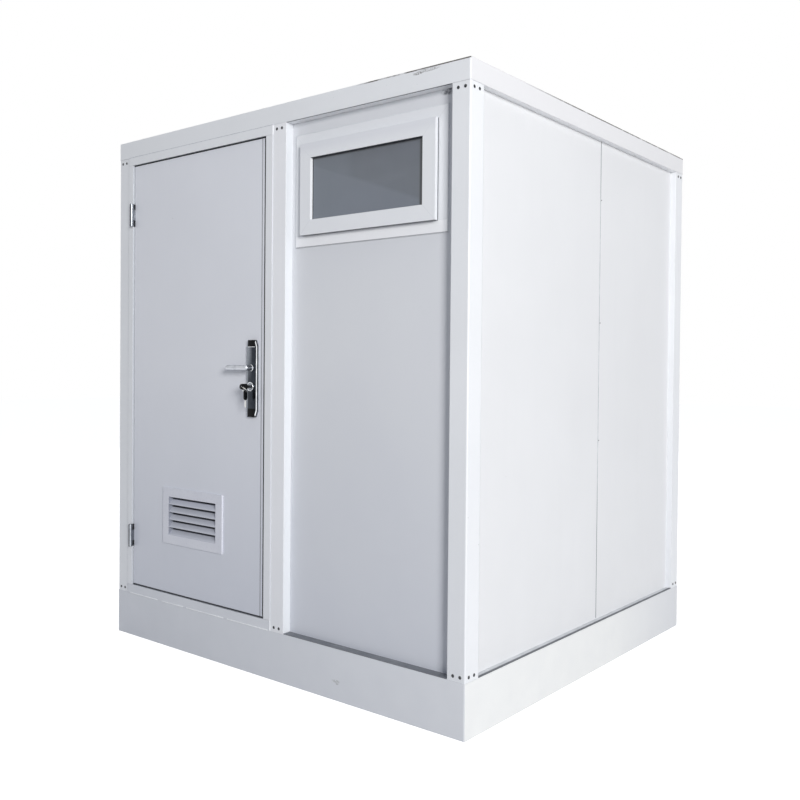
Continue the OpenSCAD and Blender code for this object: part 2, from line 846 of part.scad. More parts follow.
base_front();
base_back();
base_left();
base_right();
floor_joists();
floor_panel();
bottom_track();
post_front_left();
post_front_right();
post_back_left();
post_back_right();
door_mullion();
beam_front();
beam_back();
beam_left();
beam_right();
roof_panel();
front_wall();
left_wall();
right_wall();
back_wall();
door_jamb_hinge();
door_jamb_lock();
door_head();
door_sill();
door_leaf();
vent_frame();
vent_slats();
vent_inner_frame();
hinge_fixed_knuckles();
hinge_leaf_knuckles();
outer_plate();
inner_plate();
outer_lever();
inner_lever();
lock_cylinder();
lock_faceplate();
strike_plate();
key_plug();
key_head();
key_ring();
spare_key_head();
spare_key_blade();
window_frame();
window_sash();
window_glass();
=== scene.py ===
import json
import math
import bpy
import bmesh
from mathutils import Matrix, Vector


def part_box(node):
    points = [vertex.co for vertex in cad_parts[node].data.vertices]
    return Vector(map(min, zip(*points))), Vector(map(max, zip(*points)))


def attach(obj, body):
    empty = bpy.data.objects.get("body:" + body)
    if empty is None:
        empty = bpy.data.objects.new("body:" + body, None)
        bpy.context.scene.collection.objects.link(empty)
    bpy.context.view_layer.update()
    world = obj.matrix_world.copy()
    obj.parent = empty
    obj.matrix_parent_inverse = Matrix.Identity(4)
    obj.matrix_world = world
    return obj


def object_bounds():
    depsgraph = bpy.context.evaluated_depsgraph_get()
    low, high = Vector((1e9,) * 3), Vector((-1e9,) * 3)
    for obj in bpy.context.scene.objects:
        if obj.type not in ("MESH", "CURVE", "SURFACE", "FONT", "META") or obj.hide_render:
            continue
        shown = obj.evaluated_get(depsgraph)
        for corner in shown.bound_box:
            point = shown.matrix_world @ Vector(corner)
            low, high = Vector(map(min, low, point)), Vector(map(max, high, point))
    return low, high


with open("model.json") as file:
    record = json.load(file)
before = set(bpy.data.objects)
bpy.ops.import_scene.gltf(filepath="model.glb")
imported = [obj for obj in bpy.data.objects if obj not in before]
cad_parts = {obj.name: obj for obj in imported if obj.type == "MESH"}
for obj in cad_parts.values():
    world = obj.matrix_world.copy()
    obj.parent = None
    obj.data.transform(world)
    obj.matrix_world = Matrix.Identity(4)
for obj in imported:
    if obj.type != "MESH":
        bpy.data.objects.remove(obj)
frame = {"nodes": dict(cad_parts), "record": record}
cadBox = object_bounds()
nodes = frame["nodes"]
mm = 0.001
hair = 0.05 * mm   # the width of a sharp border between two colours
print("frame loaded,", len(nodes), "nodes")


# camera first, it stands about three metres off the near corner
camera = {"place": (2.852, -3.3347, 1.2835), "yaw": 36.864, "pitch": -0.854, "roll": 0.556,
          "lens": 39.87, "shiftX": -0.0780, "shiftY": -0.02185, "farthest": 200}

def addCamera():
    data = bpy.data.cameras.new("view")
    data.lens, data.shift_x, data.shift_y = camera["lens"], camera["shiftX"], camera["shiftY"]
    data.clip_end = camera["farthest"]
    obj = bpy.data.objects.new("view", data)
    turn = (Matrix.Rotation(math.radians(camera["yaw"]), 4, "Z")
            @ Matrix.Rotation(math.radians(90 + camera["pitch"]), 4, "X")
            @ Matrix.Rotation(math.radians(camera["roll"]), 4, "Z"))
    obj.matrix_world = Matrix.Translation(camera["place"]) @ turn
    bpy.context.scene.collection.objects.link(obj)
    bpy.context.scene.camera = obj

addCamera()
print("camera set")


# helpers for materials; a mask is a node's output between 0 and 1

def linear(hexColour):
    # sRGB hex to the linear values a shader wants
    parts = [int(hexColour[i:i + 2], 16) / 255 for i in (1, 3, 5)]
    return [p / 12.92 if p <= 0.04045 else ((p + 0.055) / 1.055) ** 2.4 for p in parts] + [1.0]

def addNode(beside, kind, inputs=None, **settings):
    # adds one node to a tree, or beside another node's output; an input is a value or such an output
    tree = beside.id_data
    node = tree.nodes.new("ShaderNode" + kind)
    for key, value in settings.items():
        setattr(node, key, value)
    for key, value in (inputs or {}).items():
        if isinstance(value, bpy.types.NodeSocket):
            tree.links.new(value, node.inputs[key])
        else:
            node.inputs[key].default_value = value
    return node.outputs

def newMaterial(name, **sockets):
    # a Principled material; the sockets given here are the same all over the surface
    material = bpy.data.materials.new(name)
    material.use_nodes = True
    shader = material.node_tree.nodes["Principled BSDF"]
    for key, value in sockets.items():
        shader.inputs[key.replace("_", " ")].default_value = value
    place = addNode(material.node_tree, "TexCoord")["Object"]
    return material, shader.inputs, place

def clouds(place, size, low=0.35, high=0.65, stretch=(1, 1, 1), detail=3):
    # soft patches about size millimetres across
    moved = addNode(place, "Mapping", {"Vector": place, "Scale": stretch})[0]
    noise = addNode(place, "TexNoise", {"Vector": moved, "Scale": 1000 / size, "Detail": detail})["Fac"]
    return addNode(place, "MapRange", {"Value": noise, "From Min": low, "From Max": high})[0]

def specks(place, pitch, radius):
    # sparse round specks, one to a cell pitch millimetres wide
    cell = addNode(place, "TexVoronoi", {"Vector": place, "Scale": 1000 / pitch})
    size = addNode(place, "SeparateColor", {"Color": cell["Color"]})[0]
    limit = addNode(place, "Math", {0: size, 1: radius / pitch}, operation="MULTIPLY")[0]
    return addNode(place, "Math", {0: cell["Distance"], 1: limit}, operation="LESS_THAN")[0]

def towards(place, axis, start, full):
    # rises as the surface turns along an axis (0 X, 1 Y, 2 Z); start and full are its normal's share there
    share = addNode(place, "SeparateXYZ", {"Vector": addNode(place, "TexCoord")["Normal"]})[axis]
    return addNode(place, "MapRange", {"Value": share, "From Min": start, "From Max": full})[0]

def ramp(place, axis, start, full, middle=None, least=0.0, most=1.0):
    # goes from least to most between two places in metres along an axis;
    # with a middle they are distances to both sides of it
    at = addNode(place, "SeparateXYZ", {"Vector": place})[axis]
    if middle is not None:
        at = addNode(place, "Math", {0: at, 1: middle}, operation="SUBTRACT")[0]
        at = addNode(place, "Math", {0: at}, operation="ABSOLUTE")[0]
    span = {"Value": at, "From Min": start, "From Max": full, "To Min": least, "To Max": most}
    return addNode(place, "MapRange", span)[0]

def layer(below, above, *masks):
    # lays a colour over another where every mask is on; a colour is sRGB hex or a node's output,
    # and the masks after the first may be plain numbers
    share = masks[0]
    for mask in masks[1:]:
        share = addNode(share, "Math", {0: share, 1: mask}, operation="MULTIPLY")[0]
    colours = [linear(c) if isinstance(c, str) else c for c in (below, above)]
    return addNode(share, "Mix", {0: share, 6: colours[0], 7: colours[1]}, data_type="RGBA")[2]

def surface(sockets, colour, uneven, gloss, relief, wornEdge=0):
    # roughness runs between the two of gloss with uneven; relief holds (mask, depth in millimetres),
    # and wornEdge is the radius worn onto sharp edges
    tree = colour.id_data
    tree.links.new(colour, sockets["Base Color"])
    span = {"Value": uneven, "To Min": gloss[0], "To Max": gloss[1]}
    rough = addNode(tree, "MapRange", span, clamp=False)[0]
    tree.links.new(rough, sockets["Roughness"])
    normal = addNode(tree, "Bevel", {"Radius": wornEdge * mm}, samples=4)[0] if wornEdge else None
    for height, depth in relief:
        inputs = {"Height": height, "Strength": 1.0, "Distance": depth * mm}
        if normal:
            inputs["Normal"] = normal
        normal = addNode(tree, "Bump", inputs)[0]
    tree.links.new(normal, sockets["Normal"])


# polyester powder coat on folded steel: smooth semi-gloss with a faint orange peel,
# the long faces a little wavy, dust towards the ground and in a few wiped streaks,
# and darker again towards the ground on faces towards -Y, which is painted shade over some dust
framePaint = {"white": "#eaecef", "shade": "#e7e9ec", "dust": "#b2b7c2", "gloss": (0.30, 0.42),
              "peel": 4.0, "peelDepth": 0.012, "wave": 320, "waveDepth": 0.35, "edge": 3.0, "dustAndShade": 0.20}

# the skirt under the door is splashed and trodden, and it is the darkest of the frame, more so to its left:
# painted shade where the light falls off towards the ground and away from the key, over dust;
# a mark is its middle and its half sizes in millimetres, its colour and its strength
skirtPaint = {**framePaint, "dust": "#a9aebb", "dustAndShade": 0.50, "dustAndShadeLeft": 1.12, "dustAndShadeRight": 0.62,
              "marks": [((430, -900, 75), (26, 30, 7), "#8f8f8c", 0.6),
                        ((436, -900, 66), (9, 30, 4), "#6f6d68", 0.7)]}
# the side skirts take a lighter, warmer copy of the frame paint, painted light where the key falls on the
# long sides, and they grow darker towards their back ends
litSideSkirtPaint = {**framePaint, "white": "#edeeed", "shade": "#ebeceb",
                  "far": "#d6d8dc", "farFrom": 0.15, "farFull": 0.85}
# sill and head are painted grey where they face the gap round the door: painted shade on the sill's faces
# that look up and on the head's faces that look down
sillPaint = {**skirtPaint, "marks": [], "lying": "#878b92"}
headPaint = {**framePaint, "under": "#878b92"}
# the mullion is a lighter copy of the frame paint, painted light, with its faces towards +X painted darker,
# painted shade
mullionPaint = {**framePaint, "white": "#f2f3f6", "shade": "#eff0f3", "shadedFacingRight": "#dee1e5"}
# the jambs' faces towards +X are painted darker: painted shade on the side the key lights
hingeJambPaint = {**framePaint, "shadedFacingRight": "#c3c7cd"}
lockJambPaint = {**framePaint, "shadedFacingRight": "#cbcfd6", "edge": 5.0}
# the top beams are chipped and rusty along their upper edges: the front one towards its right end, where
# it is smeared too, the side ones all but the first part; painted shade makes a dark strip along the front
# one's lower edge and darkens the beams' faces towards +X, and a painted highlight lightens their undersides
beamPaint = {**framePaint, "shadedFacingRight": "#e4e4e6", "under": "#f6f7f9", "lipShade": "#6b6e74", "lipShadeDeep": 8,
             "chipped": "#4f4a47", "chipHigh": 6, "chipDeep": 3,
             "chipFront": (0.51, 0.57), "chipSide": (-0.6, -0.2),
             "marks": [((862, -900, 2339), (60, 30, 7), "#9a9b9b", 0.8),
                       ((815, -900, 2335), (28, 30, 6), "#5f5c5a", 0.9)]}

# polyester coil coating on 0.5 mm sheet: flatter and a shade bluer than the frame,
# with the shallow oil-canning that foam-backed sheet has
panelPaint = {"white": "#dddfe3", "shade": "#dadce1", "dust": "#aab0bf", "gloss": (0.34, 0.46),
              "peel": 3.5, "peelDepth": 0.010, "wave": 420, "waveDepth": 0.55, "edge": 0.8, "dustAndShade": 0.45,
              # the mark is painted shade: a dark patch in the top right corner, under the beam beside the
              # post
              "marks": [((925, -862, 2263), (38, 30, 16), "#5d6067", 0.9)]}
# the long walls, the back wall and the roof take a lighter copy of the same sheet's paint: painted light, set
# for the brighter long side
litWallPaint = {**panelPaint, "white": "#e4e5e7", "shade": "#e1e2e4", "dust": "#bfc1c2", "gloss": (0.46, 0.58),
             "dustAndShade": 0.06, "marks": []}
# the door's skin has a pressed groove, painted dark along its whole length: painted shade in the groove
leafPaint = {**panelPaint, "white": "#e5e7ed", "shade": "#e2e4ea", "dust": "#a6acbc", "gloss": (0.32, 0.44),
             "wave": 380, "waveDepth": 0.45, "edge": 1.2, "dustAndShade": 0.58, "marks": [],
             "groove": "#6c7079", "grooveIn": 13.5, "grooveHalf": 3.2}

# what all the coated steel has in common; sizes in millimetres, heights in metres
coating = {"clear": 0.12, "clearRough": 0.2, "streak": 45, "streakShare": 0.25,
           "splash": 90, "splashTop": 0.55, "splashShare": 0.08, "dustAndShadeTop": 1.3,
           "spotPitch": 70, "spot": 2.2, "spotShare": 0.35, "spotColour": "#8d8f90", "flake": 40}

def addMark(place, below, mark):
    # one mark with a ragged edge: the skirt's and the beam's are scuffs and smears, the front wall's is
    # painted shade
    middle, half, colour, strength = mark
    scale = [1 / (h * mm) for h in half]
    shift = [-m * mm * k for m, k in zip(middle, scale)]
    local = addNode(place, "Mapping", {"Vector": place, "Scale": scale, "Location": shift})[0]
    away = addNode(place, "VectorMath", {0: local}, operation="LENGTH")[1]
    inside = addNode(place, "MapRange", {"Value": away, "From Min": 1.0, "From Max": 0.6})[0]
    ragged = clouds(place, min(half[0], half[2]) * 0.9, 0.35, 0.6, detail=6)
    return layer(below, colour, inside, ragged, strength)

def addChips(place, below, finish):
    low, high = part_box("beam_front")
    tall, front = finish["chipHigh"] * mm, low.y + finish["chipDeep"] * mm
    side = cadBox[1].x - finish["chipDeep"] * mm
    edge = ramp(place, 2, high.z - tall, high.z - tall / 2)
    broken = clouds(place, coating["flake"], 0.25, 0.5, stretch=(1, 1, 3), detail=4)
    inFront = ramp(place, 0, *finish["chipFront"]), ramp(place, 1, front, front - hair)
    beside = ramp(place, 1, *finish["chipSide"]), ramp(place, 0, side, side + hair, middle=0)
    for where in (inFront, beside):
        below = layer(below, finish["chipped"], edge, broken, *where)
    return below

def paintedSteel(name, finish):
    clear = {"Coat_Weight": coating["clear"], "Coat_Roughness": coating["clearRough"]}
    material, sockets, place = newMaterial(name, **clear)
    patches = clouds(place, finish["wave"], 0.30, 0.70)
    # rain and cloth run downwards, and the ground splashes up
    streaks = clouds(place, coating["streak"], 0.50, 0.80, stretch=(1, 1, 0.06), detail=4)
    splashes = clouds(place, coating["splash"], 0.35, 0.75, detail=6)
    low = ramp(place, 2, coating["splashTop"], 0.0)
    grime = addNode(place, "Math", {0: low, 1: splashes}, operation="MULTIPLY")[0]
    colour = layer(finish["white"], finish["shade"], patches)
    colour = layer(colour, finish["shade"], streaks, coating["streakShare"])
    colour = layer(colour, finish["dust"], grime, coating["splashShare"])
    # painted shade over some road dust: darker lower down on faces towards -Y, and on the skirt more so to
    # its left
    dustAndShade = [ramp(place, 2, coating["dustAndShadeTop"], 0.0), towards(place, 1, 0.2, -0.8), finish["dustAndShade"]]
    if "dustAndShadeRight" in finish:
        left, right = cadBox[0].x, cadBox[1].x
        dustAndShade.append(ramp(place, 0, left, right, least=finish["dustAndShadeLeft"], most=finish["dustAndShadeRight"]))
    colour = layer(colour, finish["dust"], *dustAndShade)
    spots = specks(place, coating["spotPitch"], coating["spot"])   # fly spots, real ones are under 1 mm
    colour = layer(colour, coating["spotColour"], spots, coating["spotShare"])
    # painted shade darkens faces towards +X, faces that look up and faces that look down; on the beams the
    # undersides are painted lighter instead, a painted highlight
    for key, axis, sign in (("shadedFacingRight", 0, 1), ("lying", 2, 1), ("under", 2, -1)):
        if key in finish:
            colour = layer(colour, finish[key], towards(place, axis, sign * 0.6, sign * 0.95))
    if "far" in finish:
        back = ramp(place, 1, finish["farFrom"], finish["farFull"])
        colour = layer(colour, finish["far"], back)
    if "lipShade" in finish:
        # a strip of painted shade along the lower front edge, between mullion and post; its width is the
        # finish's lip depth
        left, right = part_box("door_mullion")[1].x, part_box("post_front_right")[0].x
        half, back = (right - left) / 2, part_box("beam_front")[0].y + finish["lipShadeDeep"] * mm
        bay = ramp(place, 0, half, half - hair, middle=left + half)
        strip = ramp(place, 1, back, back - hair)
        colour = layer(colour, finish["lipShade"], strip, bay, towards(place, 2, -0.5, -0.9))
    if "groove" in finish:
        # painted shade along the groove, on faces towards -Y
        half, groove = finish["grooveHalf"] * mm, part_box("door_leaf")[1].x - finish["grooveIn"] * mm
        inside = ramp(place, 0, half, half * 0.7, middle=groove)
        colour = layer(colour, finish["groove"], inside, towards(place, 1, 0.2, -0.2))
    if "chipped" in finish:
        colour = addChips(place, colour, finish)
    for mark in finish.get("marks", ()):
        colour = addMark(place, colour, mark)
    dull = addNode(place, "Math", {0: streaks, 1: grime}, operation="MAXIMUM")[0]
    peel = clouds(place, finish["peel"], 0.2, 0.8, detail=1)
    wave = clouds(place, finish["wave"], 0.1, 0.9, detail=1)
    relief = [(wave, finish["waveDepth"]), (peel, finish["peelDepth"])]
    surface(sockets, colour, dull, finish["gloss"], relief, finish["edge"])
    return material


# the grey zinc primer used under floors, brushed on and matt, rusting through in spots
primerCoat = {"grey": "#8e9293", "thin": "#787b7c", "rust": "#7a5138", "rustShare": 0.6, "stroke": 6,
              "gloss": (0.6, 0.75)}

def brushedPrimer():
    material, sockets, place = newMaterial("zinc_primer_on_steel")
    strokes = clouds(place, primerCoat["stroke"], 0.3, 0.7, stretch=(1, 0.05, 1), detail=4)
    rust = clouds(place, 35, 0.62, 0.72, detail=8)
    colour = layer(primerCoat["grey"], primerCoat["thin"], clouds(place, 120, 0.4, 0.7, detail=5))
    colour = layer(colour, primerCoat["rust"], rust, primerCoat["rustShare"])
    surface(sockets, colour, strokes, primerCoat["gloss"], [(strokes, 0.05)])
    return material


# calendered PVC sheet: grey with 4 mm chips pressed into it and a fine non-slip grain
floorVinyl = {"ground": "#8f9498", "light": "#b4b8ba", "dark": "#5f6468", "scuffed": "#77797a",
              "chip": 4, "lightFrom": 0.86, "darkFrom": 0.84, "grain": 1.5, "gloss": (0.42, 0.6)}

def chippedVinyl():
    material, sockets, place = newMaterial("pvc_floor_sheet")
    cells = addNode(place, "TexVoronoi", {"Vector": place, "Scale": 1000 / floorVinyl["chip"]})
    pick = addNode(place, "SeparateColor", {"Color": cells["Color"]})
    scuff = clouds(place, 160, 0.45, 0.75, detail=6)
    colour = floorVinyl["ground"]
    for share, key in ((pick[0], "light"), (pick[1], "dark")):
        chosen = addNode(place, "Math", {0: share, 1: floorVinyl[key + "From"]}, operation="GREATER_THAN")[0]
        colour = layer(colour, floorVinyl[key], chosen)
    colour = layer(colour, floorVinyl["scuffed"], scuff, 0.25)
    grain = clouds(place, floorVinyl["grain"], 0.3, 0.7, detail=1)
    surface(sockets, colour, scuff, floorVinyl["gloss"], [(grain, 0.06)])
    return material


# the track under the panels, grey painted steel that holds the dust blown onto its ledge;
# beside the long walls the ledge is painted lighter, painted light where the key falls on that side, with a
# dark band along its outer edge
trackSteel = {"grey": "#6a6e75", "dust": "#7c7f84", "worn": "#50545a", "swept": "#a3a6ab", "side": "#d6d8db",
              "litSideDust": "#c3c6c9", "darkTone": "#66696e", "darkToneWidth": 12, "underWall": 1,
              "gloss": (0.55, 0.85)}

def dustyTrack():
    material, sockets, place = newMaterial("grey_painted_track")
    lying = clouds(place, 60, 0.35, 0.7, detail=6)
    worn = clouds(place, 14, 0.55, 0.8, detail=5)
    swept = clouds(place, 40, 0.52, 0.74, stretch=(0.12, 1, 1), detail=4)   # by a broom along the front
    colour = layer(trackSteel["grey"], trackSteel["dust"], lying)
    colour = layer(colour, trackSteel["worn"], worn, 0.5)
    colour = layer(colour, trackSteel["swept"], swept, 0.6)
    # beside the long walls: the lighter ledge, painted light, and the dark band along its outer edge
    wall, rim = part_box("right_wall")[1].x - trackSteel["underWall"] * mm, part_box("bottom_track")[1].x
    width = trackSteel["darkToneWidth"] * mm
    ledge = layer(trackSteel["side"], trackSteel["litSideDust"], lying)
    outer = ramp(place, 0, rim - width, rim - width / 2, middle=0)
    ledge = layer(ledge, trackSteel["darkTone"], outer)
    colour = layer(colour, ledge, ramp(place, 0, wall, wall + hair, middle=0))
    surface(sockets, colour, lying, trackSteel["gloss"],
            [(clouds(place, 5, 0.3, 0.7, detail=3), 0.05)])
    return material


# injection-moulded ABS of the vent: bright where it is wiped, with a fine spark-eroded grain;
# painted shade darkens the opening's left wall where it faces +X, the slats all over, and most deep between
# the slats and at their right ends
ventPlastic = {"white": "#d9dbe3", "shade": "#d5d7e0", "dust": "#aaaeb8", "shadedLeftWall": "#8f939f", "grain": 1.2,
               "gloss": (0.32, 0.5)}
slatPlastic = {**ventPlastic, "white": "#c6c9d3", "shade": "#c6c9d3", "gapShade": "#44474f",
               "gapShadeDeep": (5, 3), "endWide": (9, 4), "endDeep": (16, 9)}

def mouldedAbs(name, finish):
    material, sockets, place = newMaterial(name)
    dust = clouds(place, 9, 0.55, 0.85, detail=5)
    colour = layer(finish["white"], finish["shade"], clouds(place, 80, 0.35, 0.65))
    colour = layer(colour, finish["dust"], dust, 0.3)
    # painted shade on the opening's left wall, where it faces +X
    low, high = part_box("vent_frame")
    middle = (low.x + high.x) / 2
    left = ramp(place, 0, middle, middle - hair)
    colour = layer(colour, finish["shadedLeftWall"], left, towards(place, 0, 0.4, 0.9))
    # painted shade deep between the slats and at their right ends
    if "gapShade" in finish:
        end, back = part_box("vent_slats")[1].x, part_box("vent_slats")[1].y
        inner, wide, deep = ([at - k * mm for k in finish[key]] for at, key in
                             ((back, "gapShadeDeep"), (end, "endWide"), (back, "endDeep")))
        colour = layer(colour, finish["gapShade"], ramp(place, 1, *inner))
        colour = layer(colour, finish["gapShade"], ramp(place, 0, *wide), ramp(place, 1, *deep))
    grain = clouds(place, finish["grain"], 0.3, 0.7, detail=1)
    surface(sockets, colour, dust, finish["gloss"], [(grain, 0.015)], 0.8)
    return material


# extruded and welded PVC-U: satin white, die lines along the bars, a scraped weld line on each mitre
windowPvc = {"white": "#ebedf0", "shade": "#e8eaee", "dust": "#b7b9bb", "weld": "#cfd3d8", "line": 1.4,
             "weldWidth": 1.5, "under": "#50545b", "rebate": "#5a5e65", "upper": "#e1e3e8",
             "lower": "#f6f7fa", "side": "#dadce0", "gloss": (0.30, 0.36), "rimDeep": 4, "topFade": 30,
             "edgeIn": 2}

def mitreWelds(place, low, high):
    # a mitre runs at 45 degrees from each of the sash's corners
    centred = addNode(place, "Mapping", {"Vector": place, "Location": -(low + high) / 2})[0]
    folded = addNode(place, "VectorMath", {0: centred}, operation="ABSOLUTE")[0]
    axes = addNode(place, "SeparateXYZ", {"Vector": folded})
    slant = addNode(place, "Math", {0: axes[0], 1: axes[2]}, operation="SUBTRACT")[0]
    offset = (high.x - low.x - high.z + low.z) / 2
    miss = addNode(place, "Math", {0: slant, 1: offset}, operation="SUBTRACT")[0]
    miss = addNode(place, "Math", {0: miss}, operation="ABSOLUTE")[0]
    span = {"Value": miss, "From Min": windowPvc["weldWidth"] * mm, "From Max": 0.0}
    return addNode(place, "MapRange", span)[0]

def extrudedPvc():
    material, sockets, place = newMaterial("extruded_pvc")
    low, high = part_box("window_sash")
    pane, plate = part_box("window_glass"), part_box("window_frame")
    weld = mitreWelds(place, low, high)
    dust = clouds(place, 90, 0.0, 1.0, detail=1)
    colour = layer(windowPvc["white"], windowPvc["shade"], clouds(place, 250, 0.0, 1.0, detail=1))
    colour = layer(colour, windowPvc["weld"], weld, 0.6)
    colour = layer(colour, windowPvc["dust"], dust, 0.05)
    # the sash's top rail is painted darker than the rest, painted shade from the beam above, and the frame's
    # bottom rail is lighter
    rim, top = low.y + windowPvc["rimDeep"] * mm, pane[1].z
    colour = layer(colour, windowPvc["upper"], ramp(place, 1, rim, rim - hair),
                   ramp(place, 2, top, top + windowPvc["topFade"] * mm))
    colour = layer(colour, windowPvc["lower"], ramp(place, 2, low.z, low.z - hair))
    # the sash's faces towards +X are painted darker, painted shade where the key lights them
    edge, plateEdge = (x - windowPvc["edgeIn"] * mm for x in (high.x, plate[1].x))
    right = ramp(place, 0, edge, edge + hair)
    colour = layer(colour, windowPvc["side"], right, towards(place, 0, 0.5, 0.9))
    # painted shade: what faces down, and the sash's right rebate behind its rim
    colour = layer(colour, windowPvc["under"], towards(place, 2, -0.6, -0.95))
    behind = ramp(place, 1, pane[0].y, pane[0].y + hair)
    onSash = ramp(place, 0, plateEdge, plateEdge - hair)
    colour = layer(colour, windowPvc["rebate"], behind, right, onSash, towards(place, 0, 0.6, 0.9))
    lines = clouds(place, windowPvc["line"], 0.3, 0.7, stretch=(0.02, 1, 1), detail=1)
    surface(sockets, colour, dust, windowPvc["gloss"], [(lines, 0.003), (weld, 0.12)], 1.5)
    return material


# acid-etched float glass: the etched inner face scatters light, so it is grey and takes soft shadows,
# and the smooth outer face is a clear coat over it; the painted reflection's values are shares of the pane,
# shade in millimetres
windowGlass = {"grey": "#6a717b", "green": "#66737a", "light": "#78808d", "top": "#585e69",
               "corner": "#2c2f35", "patch": 190, "gloss": (0.42, 0.55), "reflectionSlope": 0.355,
               "reflectionHeight": 0.59, "reflectionAt": 0.37, "reflectionSoft": 8, "reflectionLeft": (0.40, 0.30),
               "shadeRight": (38, 31), "shadeTop": (21, 16)}

def etchedGlass():
    material, sockets, place = newMaterial("acid_etched_glass", Transmission_Weight=0.25, IOR=1.52,
                                           Coat_Weight=0.7, Coat_Roughness=0.03)
    low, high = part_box("window_glass")
    size, middle = high - low, (low + high) / 2
    haze = clouds(place, windowGlass["patch"], 0.42, 0.66, stretch=(0.8, 1, 1.5), detail=2)
    smear = clouds(place, 30, 0.45, 0.75, stretch=(1, 1, 0.35), detail=5)
    colour = layer(windowGlass["grey"], windowGlass["green"], ramp(place, 0, middle.x, low.x))
    colour = layer(colour, windowGlass["light"], haze, 0.5)
    # darker towards the top: painted shade
    colour = layer(colour, windowGlass["top"], ramp(place, 2, middle.z, high.z), 0.7)
    # a painted reflection lightens the pane below one long slanting line and, fainter, at the left
    axes = addNode(place, "SeparateXYZ", {"Vector": place})
    slope, soft = windowGlass["reflectionSlope"], windowGlass["reflectionSoft"] * mm
    slant = addNode(place, "Math", {0: axes[0], 1: slope, 2: axes[2]}, operation="MULTIPLY_ADD")[0]
    start = low.z + windowGlass["reflectionHeight"] * size.z + slope * (low.x + windowGlass["reflectionAt"] * size.x)
    paintedReflection = addNode(place, "MapRange", {"Value": slant, "From Min": start + soft, "From Max": start - soft})[0]
    left = ramp(place, 0, *(low.x + k * size.x for k in windowGlass["reflectionLeft"]), most=0.6)
    paintedReflection = addNode(place, "Math", {0: paintedReflection, 1: left}, operation="MAXIMUM")[0]
    colour = layer(colour, windowGlass["light"], paintedReflection, 0.7)
    # painted shadow where the rim shades the pane
    right = ramp(place, 0, *(high.x - k * mm for k in windowGlass["shadeRight"]))
    under = ramp(place, 2, *(high.z - k * mm for k in windowGlass["shadeTop"]))
    shaded = addNode(place, "Math", {0: right, 1: under}, operation="MAXIMUM")[0]
    colour = layer(colour, windowGlass["corner"], shaded, 0.9)
    etch = clouds(place, 0.8, 0.3, 0.7, detail=1)
    surface(sockets, colour, smear, windowGlass["gloss"], [(etch, 0.01)])
    return material


def brushedMetal(name, bright, dull, gloss, stretch, line=0.8, tints=(), **sockets):
    # metal with brush lines along the shortest of stretch, and handling marks in patches;
    # a tint is (axis, the normal's share where it starts, and where it is full, colour)
    material, inputs, place = newMaterial(name, **{"Metallic": 1.0, **sockets})
    lines = clouds(place, line, 0.25, 0.75, stretch=stretch, detail=2)
    marks = clouds(place, 18, 0.45, 0.75, detail=6)
    colour = layer(bright, dull, marks)
    for axis, start, full, tint in tints:
        colour = layer(colour, tint, towards(place, axis, start, full))
    handled = 0.08 / (gloss[1] - gloss[0])   # marks add up to 0.08 to the roughness
    uneven = addNode(place, "Math", {0: marks, 1: handled, 2: lines}, operation="MULTIPLY_ADD")[0]
    surface(inputs, colour, uneven, gloss, [(lines, 0.01)], 0.4)
    return material

# stainless steel 304, brushed round the barrels: cool and bright with fine lines; painted shade darkens
# the flat faces towards +X a little and every face turned away from +X strongly
hingeSteel = brushedMetal("brushed_stainless_hinge", "#a3a7ad", "#868a91", (0.32, 0.44), (0.3, 0.3, 1),
                          tints=[(0, 0.98, 0.995, "#7c8087"), (0, 0.75, 0.2, "#2b2e33")])
# the lock's plates are the same steel, brushed along their length
lockSteel = brushedMetal("brushed_stainless_lock_plates", "#a3a7ad", "#868a91", (0.32, 0.44), (1, 1, 0.1))
# satin chrome on die-cast zinc: bright, the brushing only just shows, and the side below is painted darker,
# painted shade
leverChrome = brushedMetal("satin_chrome_lever", "#bdc0c6", "#9a9ea5", (0.26, 0.38), (0.06, 1, 1),
                           tints=[(2, -0.75, -0.99, "#646971")])
# satin nickel on the brass cylinder and its guard ring: a duller grey than the lever
cylinderNickel = brushedMetal("satin_nickel_cylinder", "#8b9097", "#6f747b", (0.26, 0.38), (1, 1, 1))
# the plug in it is the same, worn by the key
plugNickel = brushedMetal("satin_nickel_plug", "#787d84", "#60656c", (0.3, 0.42), (1, 1, 1))
# nickel silver of keys and ring, handled bright
keyMetal = brushedMetal("nickel_silver_key", "#f2f1ec", "#d8d7d1", (0.18, 0.3), (1, 1, 0.1), line=0.4)
# the spare key's blade is sand blasted, so it scatters light and looks white
bladeMetal = brushedMetal("blasted_key_blade", "#f4f4f1", "#e6e5e1", (0.35, 0.5), (1, 1, 0.1), line=0.4,
                          Metallic=0.2)
# bright chrome of the thin trims
trimChrome = brushedMetal("polished_chrome_trim", "#eceef1", "#d3d6da", (0.10, 0.18), (0.06, 1, 1))
# nickel plating on the latch, the bolt and the screws
boltMetal = brushedMetal("nickel_plated_bolt", "#c4c2ba", "#9b9a94", (0.2, 0.32), (1, 0.05, 1))

# black nickel on zinc with its bevel polished back to bright chrome; bevel, step and side start
# this many millimetres behind the face: the step is painted shade on the side, the side behind it a painted
# highlight, and a painted sheen lightens one edge
plateMetal = {"front": "#2f333a", "worn": "#3c4047", "edgeSheen": "#868b92", "sheenEdge": (14, 9),
              "gloss": (0.16, 0.3), "behind": ((0.15, "#e6e9ec"), (2.8, "#1c1e22"), (7.0, "#a9adb4"))}

